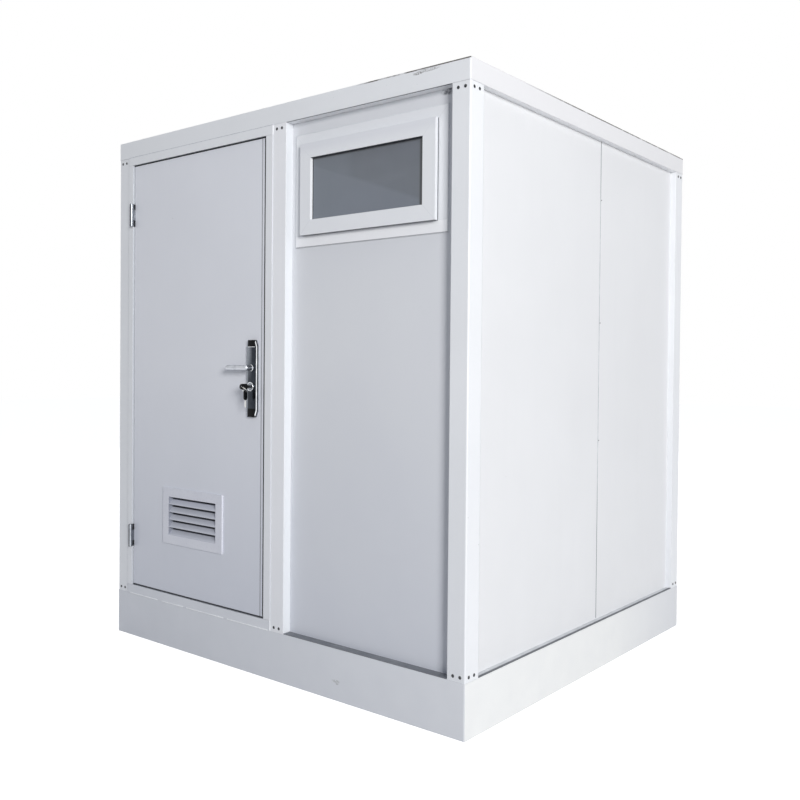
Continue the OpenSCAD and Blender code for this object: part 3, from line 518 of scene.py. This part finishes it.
def blackNickel(name, node, facing):
    # facing is -1 where the plate's face looks along -Y
    material, sockets, place = newMaterial(name, Metallic=1.0)
    low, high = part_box(node)
    face = low.y if facing < 0 else high.y
    marks = clouds(place, 25, 0.45, 0.75, detail=6)
    colour = layer(plateMetal["front"], plateMetal["worn"], marks)
    # a painted sheen along the left edge
    sheenEdge = ramp(place, 0, *(low.x + k * mm for k in plateMetal["sheenEdge"]))
    colour = layer(colour, plateMetal["edgeSheen"], sheenEdge)
    # behind the face: the polished bevel, then painted shade, then a painted highlight
    for depth, tint in plateMetal["behind"]:
        colour = layer(colour, tint, ramp(place, 1, depth * mm, depth * mm + hair, middle=face))
    lines = clouds(place, 0.8, 0.25, 0.75, stretch=(1, 1, 0.03), detail=1)
    surface(sockets, colour, marks, plateMetal["gloss"], [(lines, 0.006)], 0.4)
    return material


def darkPlastic(name, colour, worn, gloss, grain, below=None, **sockets):
    # moulded plastic, rubber or sealant; worn is where hands have polished or greyed it,
    # below is a darker colour for what faces down, painted shade
    material, inputs, place = newMaterial(name, **sockets)
    rubbed = clouds(place, 12, 0.4, 0.75, detail=5)
    tint = layer(colour, worn, rubbed)
    if below:
        tint = layer(tint, below, towards(place, 2, -0.3, -0.8))
    surface(inputs, tint, rubbed, gloss, [(clouds(place, grain, 0.3, 0.7, detail=1), 0.02)])
    return material

capPlastic = darkPlastic("black_abs_cap", "#07080a", "#0d0f12", (0.3, 0.42), 0.8, Specular_IOR_Level=0.08)
keyPlastic = darkPlastic("black_abs_key_head", "#08090b", "#111316", (0.3, 0.42), 0.8, Specular_IOR_Level=0.2)
sealRubber = darkPlastic("epdm_seal", "#2b2e33", "#3a3d42", (0.6, 0.75), 1.2)
gasketRubber = darkPlastic("epdm_glazing_gasket", "#25282d", "#383b40", (0.55, 0.7), 1.2)
# the two strips in the door gap: rubber whose dark colour also stands for the shade in the gap
edgeRubberAndShade = darkPlastic("grey_epdm_edge_strip", "#33363b", "#43464b", (0.6, 0.8), 1.2)
gapRubberAndShade = darkPlastic("black_epdm_gap_strip", "#1d1f22", "#292b2f", (0.6, 0.8), 1.2)
beadSealant = darkPlastic("white_polyurethane_bead", "#f2f4f6", "#e2e5e9", (0.3, 0.45), 3.0)
jointSealant = darkPlastic("weathered_joint_sealant", "#c8cbd1", "#a3a7ae", (0.5, 0.7), 60)
roofSealant = darkPlastic("grey_butyl_sealant", "#a5a9ac", "#8b8f92", (0.45, 0.65), 3.0)
# the bead round the window is darker where it faces down: painted shade
silicone = darkPlastic("greyed_silicone", "#dfe1e5", "#d0d3d8", (0.35, 0.5), 2.0, below="#9a9da3")
rivetMetal = darkPlastic("burnished_rivet", "#17191d", "#2c2f34", (0.35, 0.5), 0.8)
screenWire = darkPlastic("black_coated_wire", "#0c0d0f", "#16181b", (0.6, 0.8), 0.8)
pocketShade = darkPlastic("strike_pocket", "#15171a", "#24262a", (0.5, 0.7), 1.5)

print("materials made")


# which finish each node of the frame carries
finishes = {
    paintedSteel("powder_coated_skirt_steel", skirtPaint): "base_front",
    paintedSteel("powder_coated_side_skirt_steel", litSideSkirtPaint): "base_left base_right",
    paintedSteel("powder_coated_sill_steel", sillPaint): "door_sill",
    paintedSteel("powder_coated_head_steel", headPaint): "door_head",
    paintedSteel("powder_coated_mullion_steel", mullionPaint): "door_mullion",
    paintedSteel("powder_coated_beam_steel", beamPaint): "beam_front beam_left beam_right",
    paintedSteel("powder_coated_hinge_jamb_steel", hingeJambPaint): "door_jamb_hinge",
    paintedSteel("powder_coated_lock_jamb_steel", lockJambPaint): "door_jamb_lock",
    paintedSteel("powder_coated_frame_steel", framePaint): "base_back post_front_left post_front_right"
                                                           " post_back_left post_back_right beam_back",
    paintedSteel("coil_coated_panel_sheet", panelPaint): "front_wall",
    paintedSteel("coil_coated_wall_sheet", litWallPaint): "roof_panel left_wall right_wall back_wall",
    paintedSteel("coil_coated_door_sheet", leafPaint): "door_leaf",
    brushedPrimer(): "floor_joists",
    chippedVinyl(): "floor_panel",
    dustyTrack(): "bottom_track",
    mouldedAbs("moulded_abs", ventPlastic): "vent_frame vent_inner_frame",
    mouldedAbs("moulded_abs_slats", slatPlastic): "vent_slats",
    extrudedPvc(): "window_frame window_sash",
    etchedGlass(): "window_glass",
    hingeSteel: "hinge_fixed_knuckles hinge_leaf_knuckles",
    lockSteel: "lock_faceplate strike_plate",
    leverChrome: "outer_lever inner_lever",
    cylinderNickel: "lock_cylinder",
    plugNickel: "key_plug",
    keyMetal: "key_ring",
    bladeMetal: "spare_key_blade",
    keyPlastic: "key_head spare_key_head",
    blackNickel("black_nickel_outer_plate", "outer_plate", -1): "outer_plate",
    blackNickel("black_nickel_inner_plate", "inner_plate", 1): "inner_plate",
}
for material, names in finishes.items():
    for name in names.split():
        nodes[name].material_slots[0].material = material
print("nodes finished,", sum(len(n.split()) for n in finishes.values()))


# helpers for meshes

def addPiece(name, bm, material, body):
    # makes the bmesh a piece that rides on a body, its place in its mesh
    bmesh.ops.recalc_face_normals(bm, faces=bm.faces)
    mesh = bpy.data.meshes.new(name)
    bm.to_mesh(mesh)
    bm.free()
    mesh.shade_smooth()
    mesh.set_sharp_from_angle(angle=math.radians(35))
    mesh.materials.append(material)
    obj = bpy.data.objects.new(name, mesh)
    bpy.context.scene.collection.objects.link(obj)
    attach(obj, body)

def spinProfile(bm, profile, place, direction, steps=24):
    # turns (radius, height) points about an axis through place that points along direction; millimetres
    before = set(bm.verts)
    verts = [bm.verts.new((r * mm, 0, h * mm)) for r, h in profile]
    edges = [bm.edges.new(pair) for pair in zip(verts, verts[1:])]
    bmesh.ops.spin(bm, geom=verts + edges, cent=(0, 0, 0), axis=(0, 0, 1), angle=math.tau, steps=steps,
                   use_merge=True)
    bmesh.ops.remove_doubles(bm, verts=[v for v in bm.verts if v not in before], dist=0.001 * mm)
    turn = Vector((0, 0, 1)).rotation_difference(Vector(direction)).to_matrix().to_4x4()
    whole = [v for v in bm.verts if v not in before]
    bmesh.ops.transform(bm, matrix=Matrix.Translation(Vector(place)) @ turn, verts=whole)

def block(bm, low, high, radius=0, segments=2, wanted=lambda a, b: True):
    # a block between two corners, with a bevel of radius millimetres on its edges;
    # wanted gets the places of an edge's two ends
    made = bmesh.ops.create_cube(bm, size=1.0)["verts"]
    bmesh.ops.scale(bm, vec=Vector(high) - Vector(low), verts=made)
    bmesh.ops.translate(bm, vec=(Vector(low) + Vector(high)) / 2, verts=made)
    if radius:
        edges = [e for e in bm.edges if all(v in made for v in e.verts) and wanted(*(v.co for v in e.verts))]
        bmesh.ops.bevel(bm, geom=edges, offset=radius * mm, affect="EDGES", segments=segments, profile=0.5,
                        material=-1)

def alongX(a, b):
    return abs(a.x - b.x) > hair

def ringOnWall(bm, low, high, width, back, front, crown):
    # a flat ring in the XZ plane inside low..high, width metres wide, from y = back to y = front
    corners = [(low[0], low[1]), (high[0], low[1]), (high[0], high[1]), (low[0], high[1])]
    face = bm.faces.new([bm.verts.new((x, back, z)) for x, z in corners])
    bm.normal_update()   # the inset follows the face's normal
    inset = {"thickness": width, "use_boundary": True, "use_even_offset": True}
    band = bmesh.ops.inset_region(bm, faces=[face], **inset)["faces"]
    bmesh.ops.delete(bm, geom=[face], context="FACES")
    made = bmesh.ops.extrude_face_region(bm, geom=band, use_keep_orig=True)["geom"]
    top = [v for v in made if isinstance(v, bmesh.types.BMVert)]
    bmesh.ops.translate(bm, vec=(0, front - back, 0), verts=top)
    topFaces = [f for f in bm.faces if all(v in top for v in f.verts)]
    rims = [e for e in bm.edges if sum(1 for f in e.link_faces if f in topFaces) == 1]
    bmesh.ops.bevel(bm, geom=rims, offset=crown * mm, offset_type="OFFSET", affect="EDGES", segments=3,
                    profile=0.5, material=-1)

def axisOf(jointName):
    # where a joint's axis runs, from the record
    joints = frame["record"]["behaviour"]["joints"]
    return Vector(next(j["pos_m"] for j in joints if j["name"] == jointName))


# blind rivets that hold posts and mullion to the beams and the skirt
rivet = {"flange": 6.2, "height": 1.35, "mandrel": 1.7, "fromTop": 19, "fromBottom": 18,
         "onPost": (23.5, 54.5), "onMullion": (22, 52)}

def rivetProfile(scale=1.0):
    r, h, m = rivet["flange"] * scale, rivet["height"] * scale, rivet["mandrel"] * scale
    return [(r, 0), (r, h * 0.25), (r * 0.92, h * 0.6), (r * 0.7, h * 0.9), (r * 0.45, h), (m, h * 0.95),
            (m * 0.9, h * 0.45), (0, h * 0.45)]

def frameRivets():
    bm = bmesh.new()
    low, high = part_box("post_front_right")
    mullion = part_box("door_mullion")[0]
    edgeX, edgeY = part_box("base_right")[1].x, -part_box("base_front")[0].y
    head = rivetProfile()
    for z in (low.z + rivet["fromBottom"] * mm, high.z - rivet["fromTop"] * mm):
        for step in rivet["onPost"]:
            x, y = edgeX - step * mm, edgeY - step * mm
            for side in (-1, 1):
                for end in (-1, 1):
                    spinProfile(bm, head, (side * x, end * -low.y, z), (0, end, 0))
                    spinProfile(bm, head, (side * high.x, end * y, z), (side, 0, 0))
        for step in rivet["onMullion"]:
            spinProfile(bm, head, (mullion.x + step * mm, mullion.y, z), (0, -1, 0))
    addPiece("frame_rivets", bm, rivetMetal, "cabin")

frameRivets()


# small screws beside the panel joints of the two long sides
seamScrews = {"heights": (980, 1490, 2020), "along": 100, "scale": 0.45}

def sideScrews():
    bm = bmesh.new()
    for wall, side in (("right_wall", 1), ("left_wall", -1)):
        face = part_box(wall)[side > 0].x
        for z in seamScrews["heights"]:
            place = (face, seamScrews["along"] * mm, z * mm)
            spinProfile(bm, rivetProfile(seamScrews["scale"]), place, (side, 0, 0), 16)
    addPiece("panel_screws", bm, rivetMetal, "cabin")

sideScrews()
print("rivets and screws made")


# ends of the hinge pins, polished domes above and below each barrel
hingePin = {"radius": 5.5, "height": 2.6, "barrel": 105}

def hingePins():
    bm = bmesh.new()
    low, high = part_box("hinge_fixed_knuckles")
    axis, barrel = axisOf("door_hinge"), hingePin["barrel"] * mm
    r, h = hingePin["radius"], hingePin["height"]
    dome = [(r, 0), (r, h * 0.3), (r * 0.9, h * 0.65), (r * 0.6, h * 0.92), (0, h)]
    for z in (low.z, high.z - barrel):
        spinProfile(bm, dome, (axis.x, axis.y, z + barrel), (0, 0, 1))
        spinProfile(bm, dome, (axis.x, axis.y, z), (0, 0, -1))
    addPiece("hinge_pin_ends", bm, hingeSteel, "cabin")

hingePins()


# the EPDM strip on the frame's stops, just clear of the shut door
doorSeal = {"width": 9, "fromEdge": 4, "stopGap": 5.5, "clear": 0.6, "round": 2.5}

def addDoorSeal():
    bm = bmesh.new()
    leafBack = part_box("door_leaf")[1].y
    out = (doorSeal["width"] + doorSeal["fromEdge"]) * mm
    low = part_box("door_jamb_hinge")[1].x - out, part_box("door_sill")[1].z - out
    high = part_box("door_jamb_lock")[0].x + out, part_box("door_head")[0].z + out
    ringOnWall(bm, low, high, doorSeal["width"] * mm, leafBack + doorSeal["stopGap"] * mm,
               leafBack + doorSeal["clear"] * mm, doorSeal["round"])
    addPiece("door_seal", bm, sealRubber, "cabin")

addDoorSeal()


# black EPDM strips in the gap round the door: on the head and the sill, and on the leaf's lock edge;
# they sit close behind the face, so their black also stands for the deep shade in the gap
gapSeal = {"front": 0.8, "deep": 12, "clear": 0.8, "start": 17, "round": 1.2,
           "edgeThick": 0.8, "edgeFront": 0.3, "edgeDeep": 9, "edgeShort": 2, "edgeRound": 0.5}

def addGapSeals():
    low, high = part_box("door_leaf")
    left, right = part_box("door_jamb_hinge")[1].x - gapSeal["start"] * mm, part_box("strike_plate")[0].x
    front, clear, gap = low.y + gapSeal["front"] * mm, gapSeal["clear"] * mm, doorSeal["stopGap"] * mm
    bm = bmesh.new()
    back = front + gapSeal["deep"] * mm
    for near, far in ((high.z + clear, high.z + gap), (low.z - gap, low.z - clear)):
        block(bm, (left, front, near), (right, back, far), gapSeal["round"], 3, alongX)
    addPiece("gap_seals", bm, gapRubberAndShade, "cabin")
    bm = bmesh.new()
    front, short = low.y + gapSeal["edgeFront"] * mm, gapSeal["edgeShort"] * mm
    outer = high.x + gapSeal["edgeThick"] * mm
    block(bm, (high.x, front, low.z + short), (outer, front + gapSeal["edgeDeep"] * mm, high.z - short),
          gapSeal["edgeRound"], 2, lambda a, b: abs(a.z - b.z) > hair and a.x > high.x + hair)
    addPiece("leaf_edge_seal", bm, edgeRubberAndShade, "door")

addGapSeals()


# fly screen behind the vent's slats, woven of black coated wire
flyScreen = {"wire": 0.9, "pitch": 2.2, "behind": 1.0}

def addFlyScreen():
    low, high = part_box("vent_slats")
    y, half = high.y + flyScreen["behind"] * mm, flyScreen["wire"] / 2 * mm
    bm = bmesh.new()
    for axis in (0, 2):
        start, end = low[axis], high[axis]
        count = int((end - start) / (flyScreen["pitch"] * mm))
        for k in range(count):
            at = start + (k + 0.5) * (end - start) / count
            near, far = [low.x, y - half, low.z], [high.x, y + half, high.z]
            near[axis], far[axis] = at - half, at + half
            block(bm, near, far)
    addPiece("fly_screen", bm, screenWire, "door")

addFlyScreen()


# white bead along the sill's foot, laid by hand so it comes and goes; a part is its start and end as shares
sillBead = {"radius": 2.4, "parts": ((0.02, 0.24), (0.27, 0.43), (0.45, 0.71), (0.73, 0.99)), "lift": 1.2,
            "sink": 0.6, "taper": 6}

def addSillBead():
    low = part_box("door_sill")[0]
    left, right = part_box("door_jamb_hinge")[0].x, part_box("door_mullion")[0].x
    r, taper = sillBead["radius"], sillBead["taper"]
    bm = bmesh.new()
    for start, end in sillBead["parts"]:
        run = (end - start) * (right - left) / mm
        bead = [(0, 0), (r * 0.7, taper / 4), (r, taper), (r * 0.9, run * 0.5), (r, run - taper),
                (r * 0.7, run - taper / 4), (0, run)]
        place = (left + start * (right - left), low.y + sillBead["sink"] * mm, low.z + sillBead["lift"] * mm)
        spinProfile(bm, bead, place, (1, 0, 0), 12)
    addPiece("sill_bead", bm, beadSealant, "cabin")

addSillBead()


# grey sealant in the joint between the door's head and the top beam
headJoint = {"high": 2.6, "sink": 0.4, "deep": 2, "round": 0.8}

def addHeadJoint():
    front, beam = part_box("door_head")[0].y + headJoint["sink"] * mm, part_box("beam_front")[0]
    left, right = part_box("door_jamb_hinge")[0].x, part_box("door_mullion")[0].x
    bm = bmesh.new()
    back, top = beam.y + headJoint["deep"] * mm, beam.z + headJoint["high"] * mm
    block(bm, (left, front, beam.z), (right, back, top), headJoint["round"], 3, alongX)
    addPiece("head_sealant", bm, jointSealant, "cabin")

addHeadJoint()


# glazing gasket round the pane, and the silicone joint round the window frame's flange;
# covered is how far the sash laps over the pane
glazing = {"covered": 12, "width": 3, "proud": 1.6, "round": 0.7,
           "bead": 3, "beadProud": 2.5, "beadRound": 0.9}

def addGlazing():
    bm = bmesh.new()
    low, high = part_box("window_glass")
    covered = glazing["covered"] * mm
    ringOnWall(bm, (low.x + covered, low.z + covered), (high.x - covered, high.z - covered),
               glazing["width"] * mm, low.y, low.y - glazing["proud"] * mm, glazing["round"])
    addPiece("glazing_gasket", bm, gasketRubber, "cabin")
    bm = bmesh.new()
    low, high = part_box("window_frame")
    wall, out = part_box("front_wall")[0].y, glazing["bead"] * mm
    ringOnWall(bm, (low.x - out, low.z - out), (high.x + out, high.z + out),
               out * 0.98, wall, wall - glazing["beadProud"] * mm, glazing["beadRound"])
    addPiece("window_sealant", bm, silicone, "cabin")

addGlazing()
print("hinge ends, seals and gaskets made")


# the plate's crowned cover, a bright trim over it and the black end caps; the inner plate has the same
handleCover = {"width": 43, "crown": 1.8, "proud": 0.4, "topCap": 26, "bottomCap": 34, "capProud": 2.2,
               "over": 1.2, "trim": 2.6, "trimGap": 0.2, "round": 1.2}
# the sheen starts this far right of the middle and above the foot, and is full this far inside the edges
coverColours = {"dark": "#30343b", "worn": "#3b4047", "sheen": "#868b93", "gloss": (0.2, 0.32),
                "sheenFrom": (8, 150), "sheenFull": (12, 60)}

def coverNickel():
    # black nickel over brushed steel: nearly black, with a painted sheen lightening it to grey towards its
    # upper left, beside the lever
    material, sockets, place = newMaterial("black_nickel_cover", Metallic=1.0)
    low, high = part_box("outer_plate")
    across, up = coverColours["sheenFrom"]
    inside, under = coverColours["sheenFull"]
    left = ramp(place, 0, (low.x + high.x) / 2 + across * mm, low.x + inside * mm)
    upper = ramp(place, 2, low.z + up * mm, high.z - under * mm)
    lines = clouds(place, 0.8, 0.25, 0.75, stretch=(1, 1, 0.04), detail=2)
    marks = clouds(place, 25, 0.45, 0.75, detail=6)
    colour = layer(coverColours["dark"], coverColours["worn"], marks)
    colour = layer(colour, coverColours["sheen"], left, upper)
    surface(sockets, colour, lines, coverColours["gloss"], [(lines, 0.008)])
    return material

coverMetal = coverNickel()

def addHandleCover(node, facing, prefix):
    low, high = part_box(node)
    face, back = (low.y, high.y) if facing < 0 else (high.y, low.y)
    middle, half = (low.x + high.x) / 2, handleCover["width"] / 2 * mm
    bottom, top = low.z + handleCover["bottomCap"] * mm, high.z - handleCover["topCap"] * mm
    trim, over = top - handleCover["trim"] * mm, handleCover["over"] * mm
    bm = bmesh.new()
    bmesh.ops.create_grid(bm, x_segments=16, y_segments=1, size=0.5)
    bmesh.ops.transform(bm, matrix=Matrix.Rotation(math.pi / 2, 4, "X"), verts=bm.verts)
    bmesh.ops.scale(bm, vec=(2 * half, 1, trim - bottom), verts=bm.verts)
    for v in bm.verts:
        v.co.y = facing * (handleCover["proud"] + handleCover["crown"] * (1 - (v.co.x / half) ** 2)) * mm
    bmesh.ops.translate(bm, vec=(middle, face, (bottom + trim) / 2), verts=bm.verts)
    rim = bmesh.ops.extrude_edge_only(bm, edges=[e for e in bm.edges if e.is_boundary])["geom"]
    for v in rim:
        if isinstance(v, bmesh.types.BMVert):
            v.co.y = face
    addPiece(prefix + "_plate_cover", bm, coverMetal, "door")
    proud = face + facing * handleCover["capProud"] * mm
    caps, trims = ((low.z - over, bottom), (top, high.z + over)), ((trim, top - handleCover["trimGap"] * mm),)
    for name, material, foot, ends in (("_plate_caps", capPlastic, back, caps),
                                       ("_plate_trim", trimChrome, face, trims)):
        bm = bmesh.new()
        for start, end in ends:
            rounding = min(handleCover["round"], (end - start) / mm * 0.4)
            block(bm, (middle - half, min(foot, proud), start), (middle + half, max(foot, proud), end),
                  rounding, 3, lambda a, b: max(abs(a.y - proud), abs(b.y - proud)) < hair)
        addPiece(prefix + name, bm, material, "door")

addHandleCover("outer_plate", -1, "outer")
addHandleCover("inner_plate", 1, "inner")


# polished collars on both plates round the lever's neck
leverCollar = {"inner": 11.8, "outer": 13.8, "high": 4.2, "foot": 0.6, "steps": 40}

def addLeverCollars():
    axis = axisOf("lever_turn")
    inner, outer, top, foot = (leverCollar[k] for k in ("inner", "outer", "high", "foot"))
    ring = [(inner, foot), (outer, foot), (outer, top - 1.2), (outer - 1.1, top), (inner + 0.4, top),
            (inner, top - 0.5), (inner, foot)]
    bm = bmesh.new()
    for node, facing in (("outer_plate", -1), ("inner_plate", 1)):
        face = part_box(node)[facing > 0].y
        spinProfile(bm, ring, (axis.x, face, axis.z), (0, facing, 0), leverCollar["steps"])
    addPiece("lever_collars", bm, trimChrome, "door")

addLeverCollars()


# polished rim round the cylinder's guard ring
guardRim = {"radius": 17.6, "wire": 1.5, "turns": 12, "steps": 48}

def addGuardRim():
    low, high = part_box("lock_cylinder")
    r, w, turns = guardRim["radius"], guardRim["wire"], guardRim["turns"]
    angles = [k * math.tau / turns for k in range(turns + 1)]
    loop = [(r + w * math.cos(a), w * math.sin(a)) for a in angles]
    bm = bmesh.new()
    place = ((low.x + high.x) / 2, low.y, (low.z + high.z) / 2)
    spinProfile(bm, loop, place, (0, -1, 0), guardRim["steps"])
    addPiece("guard_rim", bm, trimChrome, "door")

addGuardRim()


# moulded neck between the head of the key in the lock and the plug
keyNeck = {"high": 11, "inHead": 2, "clear": 0.6, "round": 1.6}

def addKeyNeck():
    low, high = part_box("key_head")
    guard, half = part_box("lock_cylinder")[0].y, keyNeck["high"] / 2 * mm
    middle = (low.z + high.z) / 2
    bm = bmesh.new()
    block(bm, (low.x, high.y - keyNeck["inHead"] * mm, middle - half),
          (high.x, guard - keyNeck["clear"] * mm, middle + half), keyNeck["round"], 4)
    addPiece("key_neck", bm, keyPlastic, "key")

addKeyNeck()


# the joint between two panels of each long side, filled with a thin line of sealant that is dirty
# at its ends; the ends' heights are in metres
seamFill = {"at": 92, "width": 4.5, "proud": 0.5, "round": 0.4, "fromFoot": 4, "fromTop": 2,
            "pale": "#c6c9cd", "grey": "#a2a6ab", "darkTone": "#7c8086", "gloss": (0.5, 0.7),
            "topEnd": (1.95, 2.1), "bottomEnd": (0.85, 0.70)}

def seamFiller():
    material, sockets, place = newMaterial("polyurethane_seam_filler")
    broken = clouds(place, 40, 0.3, 0.7, detail=3)
    colour = layer(seamFill["pale"], seamFill["grey"], broken)
    for end in ("topEnd", "bottomEnd"):
        colour = layer(colour, seamFill["darkTone"], ramp(place, 2, *seamFill[end]))
    lumps = clouds(place, 3, 0.3, 0.7, detail=1)
    surface(sockets, colour, broken, seamFill["gloss"], [(lumps, 0.1)])
    return material

def addSeamFill():
    bm = bmesh.new()
    y, half = seamFill["at"] * mm, seamFill["width"] / 2 * mm
    for wall, side in (("right_wall", 1), ("left_wall", -1)):
        low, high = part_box(wall)
        face = (low, high)[side > 0].x
        proud = face + side * seamFill["proud"] * mm
        block(bm, (min(face, proud), y - half, low.z + seamFill["fromFoot"] * mm),
              (max(face, proud), y + half, high.z - seamFill["fromTop"] * mm),
              seamFill["round"], 2, lambda a, b: abs(a.z - b.z) > hair and abs(a.x - face) > hair)
    addPiece("seam_sealant", bm, seamFiller(), "cabin")

addSeamFill()


# latch and dead bolt in the lock's faceplate, with its screws, and the strike's pockets and screws; the
# pockets are dark sheets on the strike's face, painted shade for its holes; latch and bolt are height,
# thickness, how far out, rounding and its steps
lockParts = {"latch": (16, 12, 10, 3.5, 4), "bolt": (34, 11, 1.2, 0.4, 2), "inside": 1, "screw": 4.2,
             "screwFromEnd": 10, "pocketHigh": (22, 40), "pocketHalf": 8, "pocketProud": 0.15,
             "pocketRound": 2.5}

def addLockParts():
    low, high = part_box("lock_faceplate")
    midY = (low.y + high.y) / 2
    heights = axisOf("lever_turn").z, axisOf("key_turn").z
    bm = bmesh.new()
    for z, key in zip(heights, ("latch", "bolt")):
        # the bolt is rounded all round, the latch at its nose only
        tall, thick, out = (k * mm for k in lockParts[key][:3])
        block(bm, (high.x - lockParts["inside"] * mm, midY - thick / 2, z - tall / 2),
              (high.x + out, midY + thick / 2, z + tall / 2), *lockParts[key][3:],
              lambda a, b: key == "bolt" or min(a.x - high.x, b.x - high.x, a.y - midY, b.y - midY) > 0)
    addPiece("latch_and_bolt", bm, boltMetal, "door")
    r = lockParts["screw"]
    head = [(r, 0), (r * 0.9, 0.5), (r * 0.45, 0.8), (r * 0.4, 0.4), (0, 0.4)]
    for node, name, body, side in (("lock_faceplate", "faceplate_screws", "door", 1),
                                   ("strike_plate", "strike_screws", "cabin", -1)):
        low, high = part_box(node)
        face, fromEnd = (low, high)[side > 0].x, lockParts["screwFromEnd"] * mm
        bm = bmesh.new()
        for z in (low.z + fromEnd, high.z - fromEnd):
            spinProfile(bm, head, (face, midY, z), (side, 0, 0), 20)
        addPiece(name, bm, boltMetal, body)
    # dark sheets on the strike's face, painted shade for the holes of its pockets
    half, face = lockParts["pocketHalf"] * mm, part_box("strike_plate")[0].x
    bm = bmesh.new()
    for z, tall in zip(heights, lockParts["pocketHigh"]):
        block(bm, (face - lockParts["pocketProud"] * mm, midY - half, z - tall / 2 * mm),
              (face, midY + half, z + tall / 2 * mm), lockParts["pocketRound"], 4, alongX)
    addPiece("strike_pockets", bm, pocketShade, "cabin")

addLockParts()
print("lock parts made")


# weathered sealant where the roof meets the beams, and the tape over the joint between the two roof panels
roofJoints = {"tape": 60, "thick": 1.2, "short": 8, "round": 0.5, "bead": 9, "beadHigh": 5, "beadLow": 0.1}

def addRoofJoints():
    low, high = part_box("roof_panel")
    bm = bmesh.new()
    block(bm, (low.x, low.y, high.z), (high.x, high.y, high.z + roofJoints["beadHigh"] * mm))
    upper = [f for f in bm.faces if all(v.co.z > high.z + hair for v in f.verts)]
    lower = [f for f in bm.faces if all(v.co.z < high.z + hair for v in f.verts)]
    bmesh.ops.inset_region(bm, faces=upper, thickness=roofJoints["bead"] * mm, use_even_offset=True)
    for v in upper[0].verts:
        v.co.z = high.z + roofJoints["beadLow"] * mm
    bmesh.ops.delete(bm, geom=upper + lower, context="FACES")
    addPiece("roof_sealant", bm, roofSealant, "cabin")
    bm = bmesh.new()
    middle, half, short = (low.x + high.x) / 2, roofJoints["tape"] / 2 * mm, roofJoints["short"] * mm
    block(bm, (middle - half, low.y + short, high.z),
          (middle + half, high.y - short, high.z + roofJoints["thick"] * mm), roofJoints["round"])
    addPiece("roof_joint_tapes", bm, roofSealant, "cabin")

addRoofJoints()
print("roof joints made")


# pale floor and soft studio light; the key stands to the right so the long side is the brighter one;
# a lamp is its place, what it aims at, its size, its power and its colour
studio = {"sky": (0.91, 0.985, 1.15), "ambient": 0.25, "floorGlow": 0.88, "floorWhite": 0.48, "floorSize": 60,
          "lamps": {"key": ((9.4, -6.2, 3.6), (0, 0, 1.2), 2.8, 1010, (1.0, 0.99, 0.975)),
                    "overhead": ((0.5, -0.5, 6.5), (0, 0, 1.0), 4.0, 90, (1, 1, 1)),
                    "back": ((-7.0, 6.5, 3.8), (0, 0, 1.2), 4.0, 420, (1, 1, 1))}}

def lightStudio():
    for name, (place, aim, size, power, colour) in studio["lamps"].items():
        lamp = bpy.data.lights.new(name, "AREA")
        lamp.shape, lamp.size, lamp.size_y, lamp.energy, lamp.color = "RECTANGLE", size, size, power, colour
        obj = bpy.data.objects.new(name, lamp)
        obj.location = place
        obj.rotation_euler = (Vector(aim) - Vector(place)).to_track_quat("-Z", "Y").to_euler()
        bpy.context.scene.collection.objects.link(obj)

def seenDirectly(tree):
    # 1 for what the camera sees itself, in a reflection or through glass
    rays = addNode(tree, "LightPath")
    seen = addNode(tree, "Math", {0: rays["Is Camera Ray"], 1: rays["Is Glossy Ray"]}, operation="MAXIMUM")[0]
    return addNode(tree, "Math", {0: seen, 1: rays["Is Transmission Ray"]}, operation="MAXIMUM")[0]

def whiteWorld():
    world = bpy.data.worlds.new("studio")
    world.use_nodes = True
    tree = world.node_tree
    tree.nodes.clear()
    dim = addNode(tree, "Background", {"Color": (*studio["sky"], 1), "Strength": studio["ambient"]})[0]
    white = addNode(tree, "Background", {"Color": (1, 1, 1, 1), "Strength": 1.0})[0]
    both = addNode(tree, "MixShader", {0: seenDirectly(tree), 1: dim, 2: white})[0]
    addNode(tree, "OutputWorld", {"Surface": both})
    bpy.context.scene.world = world

def paleFloor():
    bm = bmesh.new()
    bmesh.ops.create_grid(bm, x_segments=1, y_segments=1, size=studio["floorSize"] / 2)
    mesh = bpy.data.meshes.new("studio_floor")
    bm.to_mesh(mesh)
    bm.free()
    floor = bpy.data.objects.new("studio_floor", mesh)
    bpy.context.scene.collection.objects.link(floor)
    material = bpy.data.materials.new("white_floor")
    material.use_nodes = True
    tree = material.node_tree
    tree.nodes.clear()
    matt = addNode(tree, "BsdfDiffuse", {"Color": (studio["floorWhite"],) * 3 + (1,)})[0]
    glow = addNode(tree, "Emission", {"Color": (1, 1, 1, 1), "Strength": studio["floorGlow"]})[0]
    lit = addNode(tree, "AddShader", {0: matt, 1: glow})[0]
    both = addNode(tree, "MixShader", {0: seenDirectly(tree), 1: matt, 2: lit})[0]
    addNode(tree, "OutputMaterial", {"Surface": both})
    mesh.materials.append(material)

lightStudio()
whiteWorld()
paleFloor()
bpy.context.scene.view_settings.view_transform = "Standard"
print("studio lit")
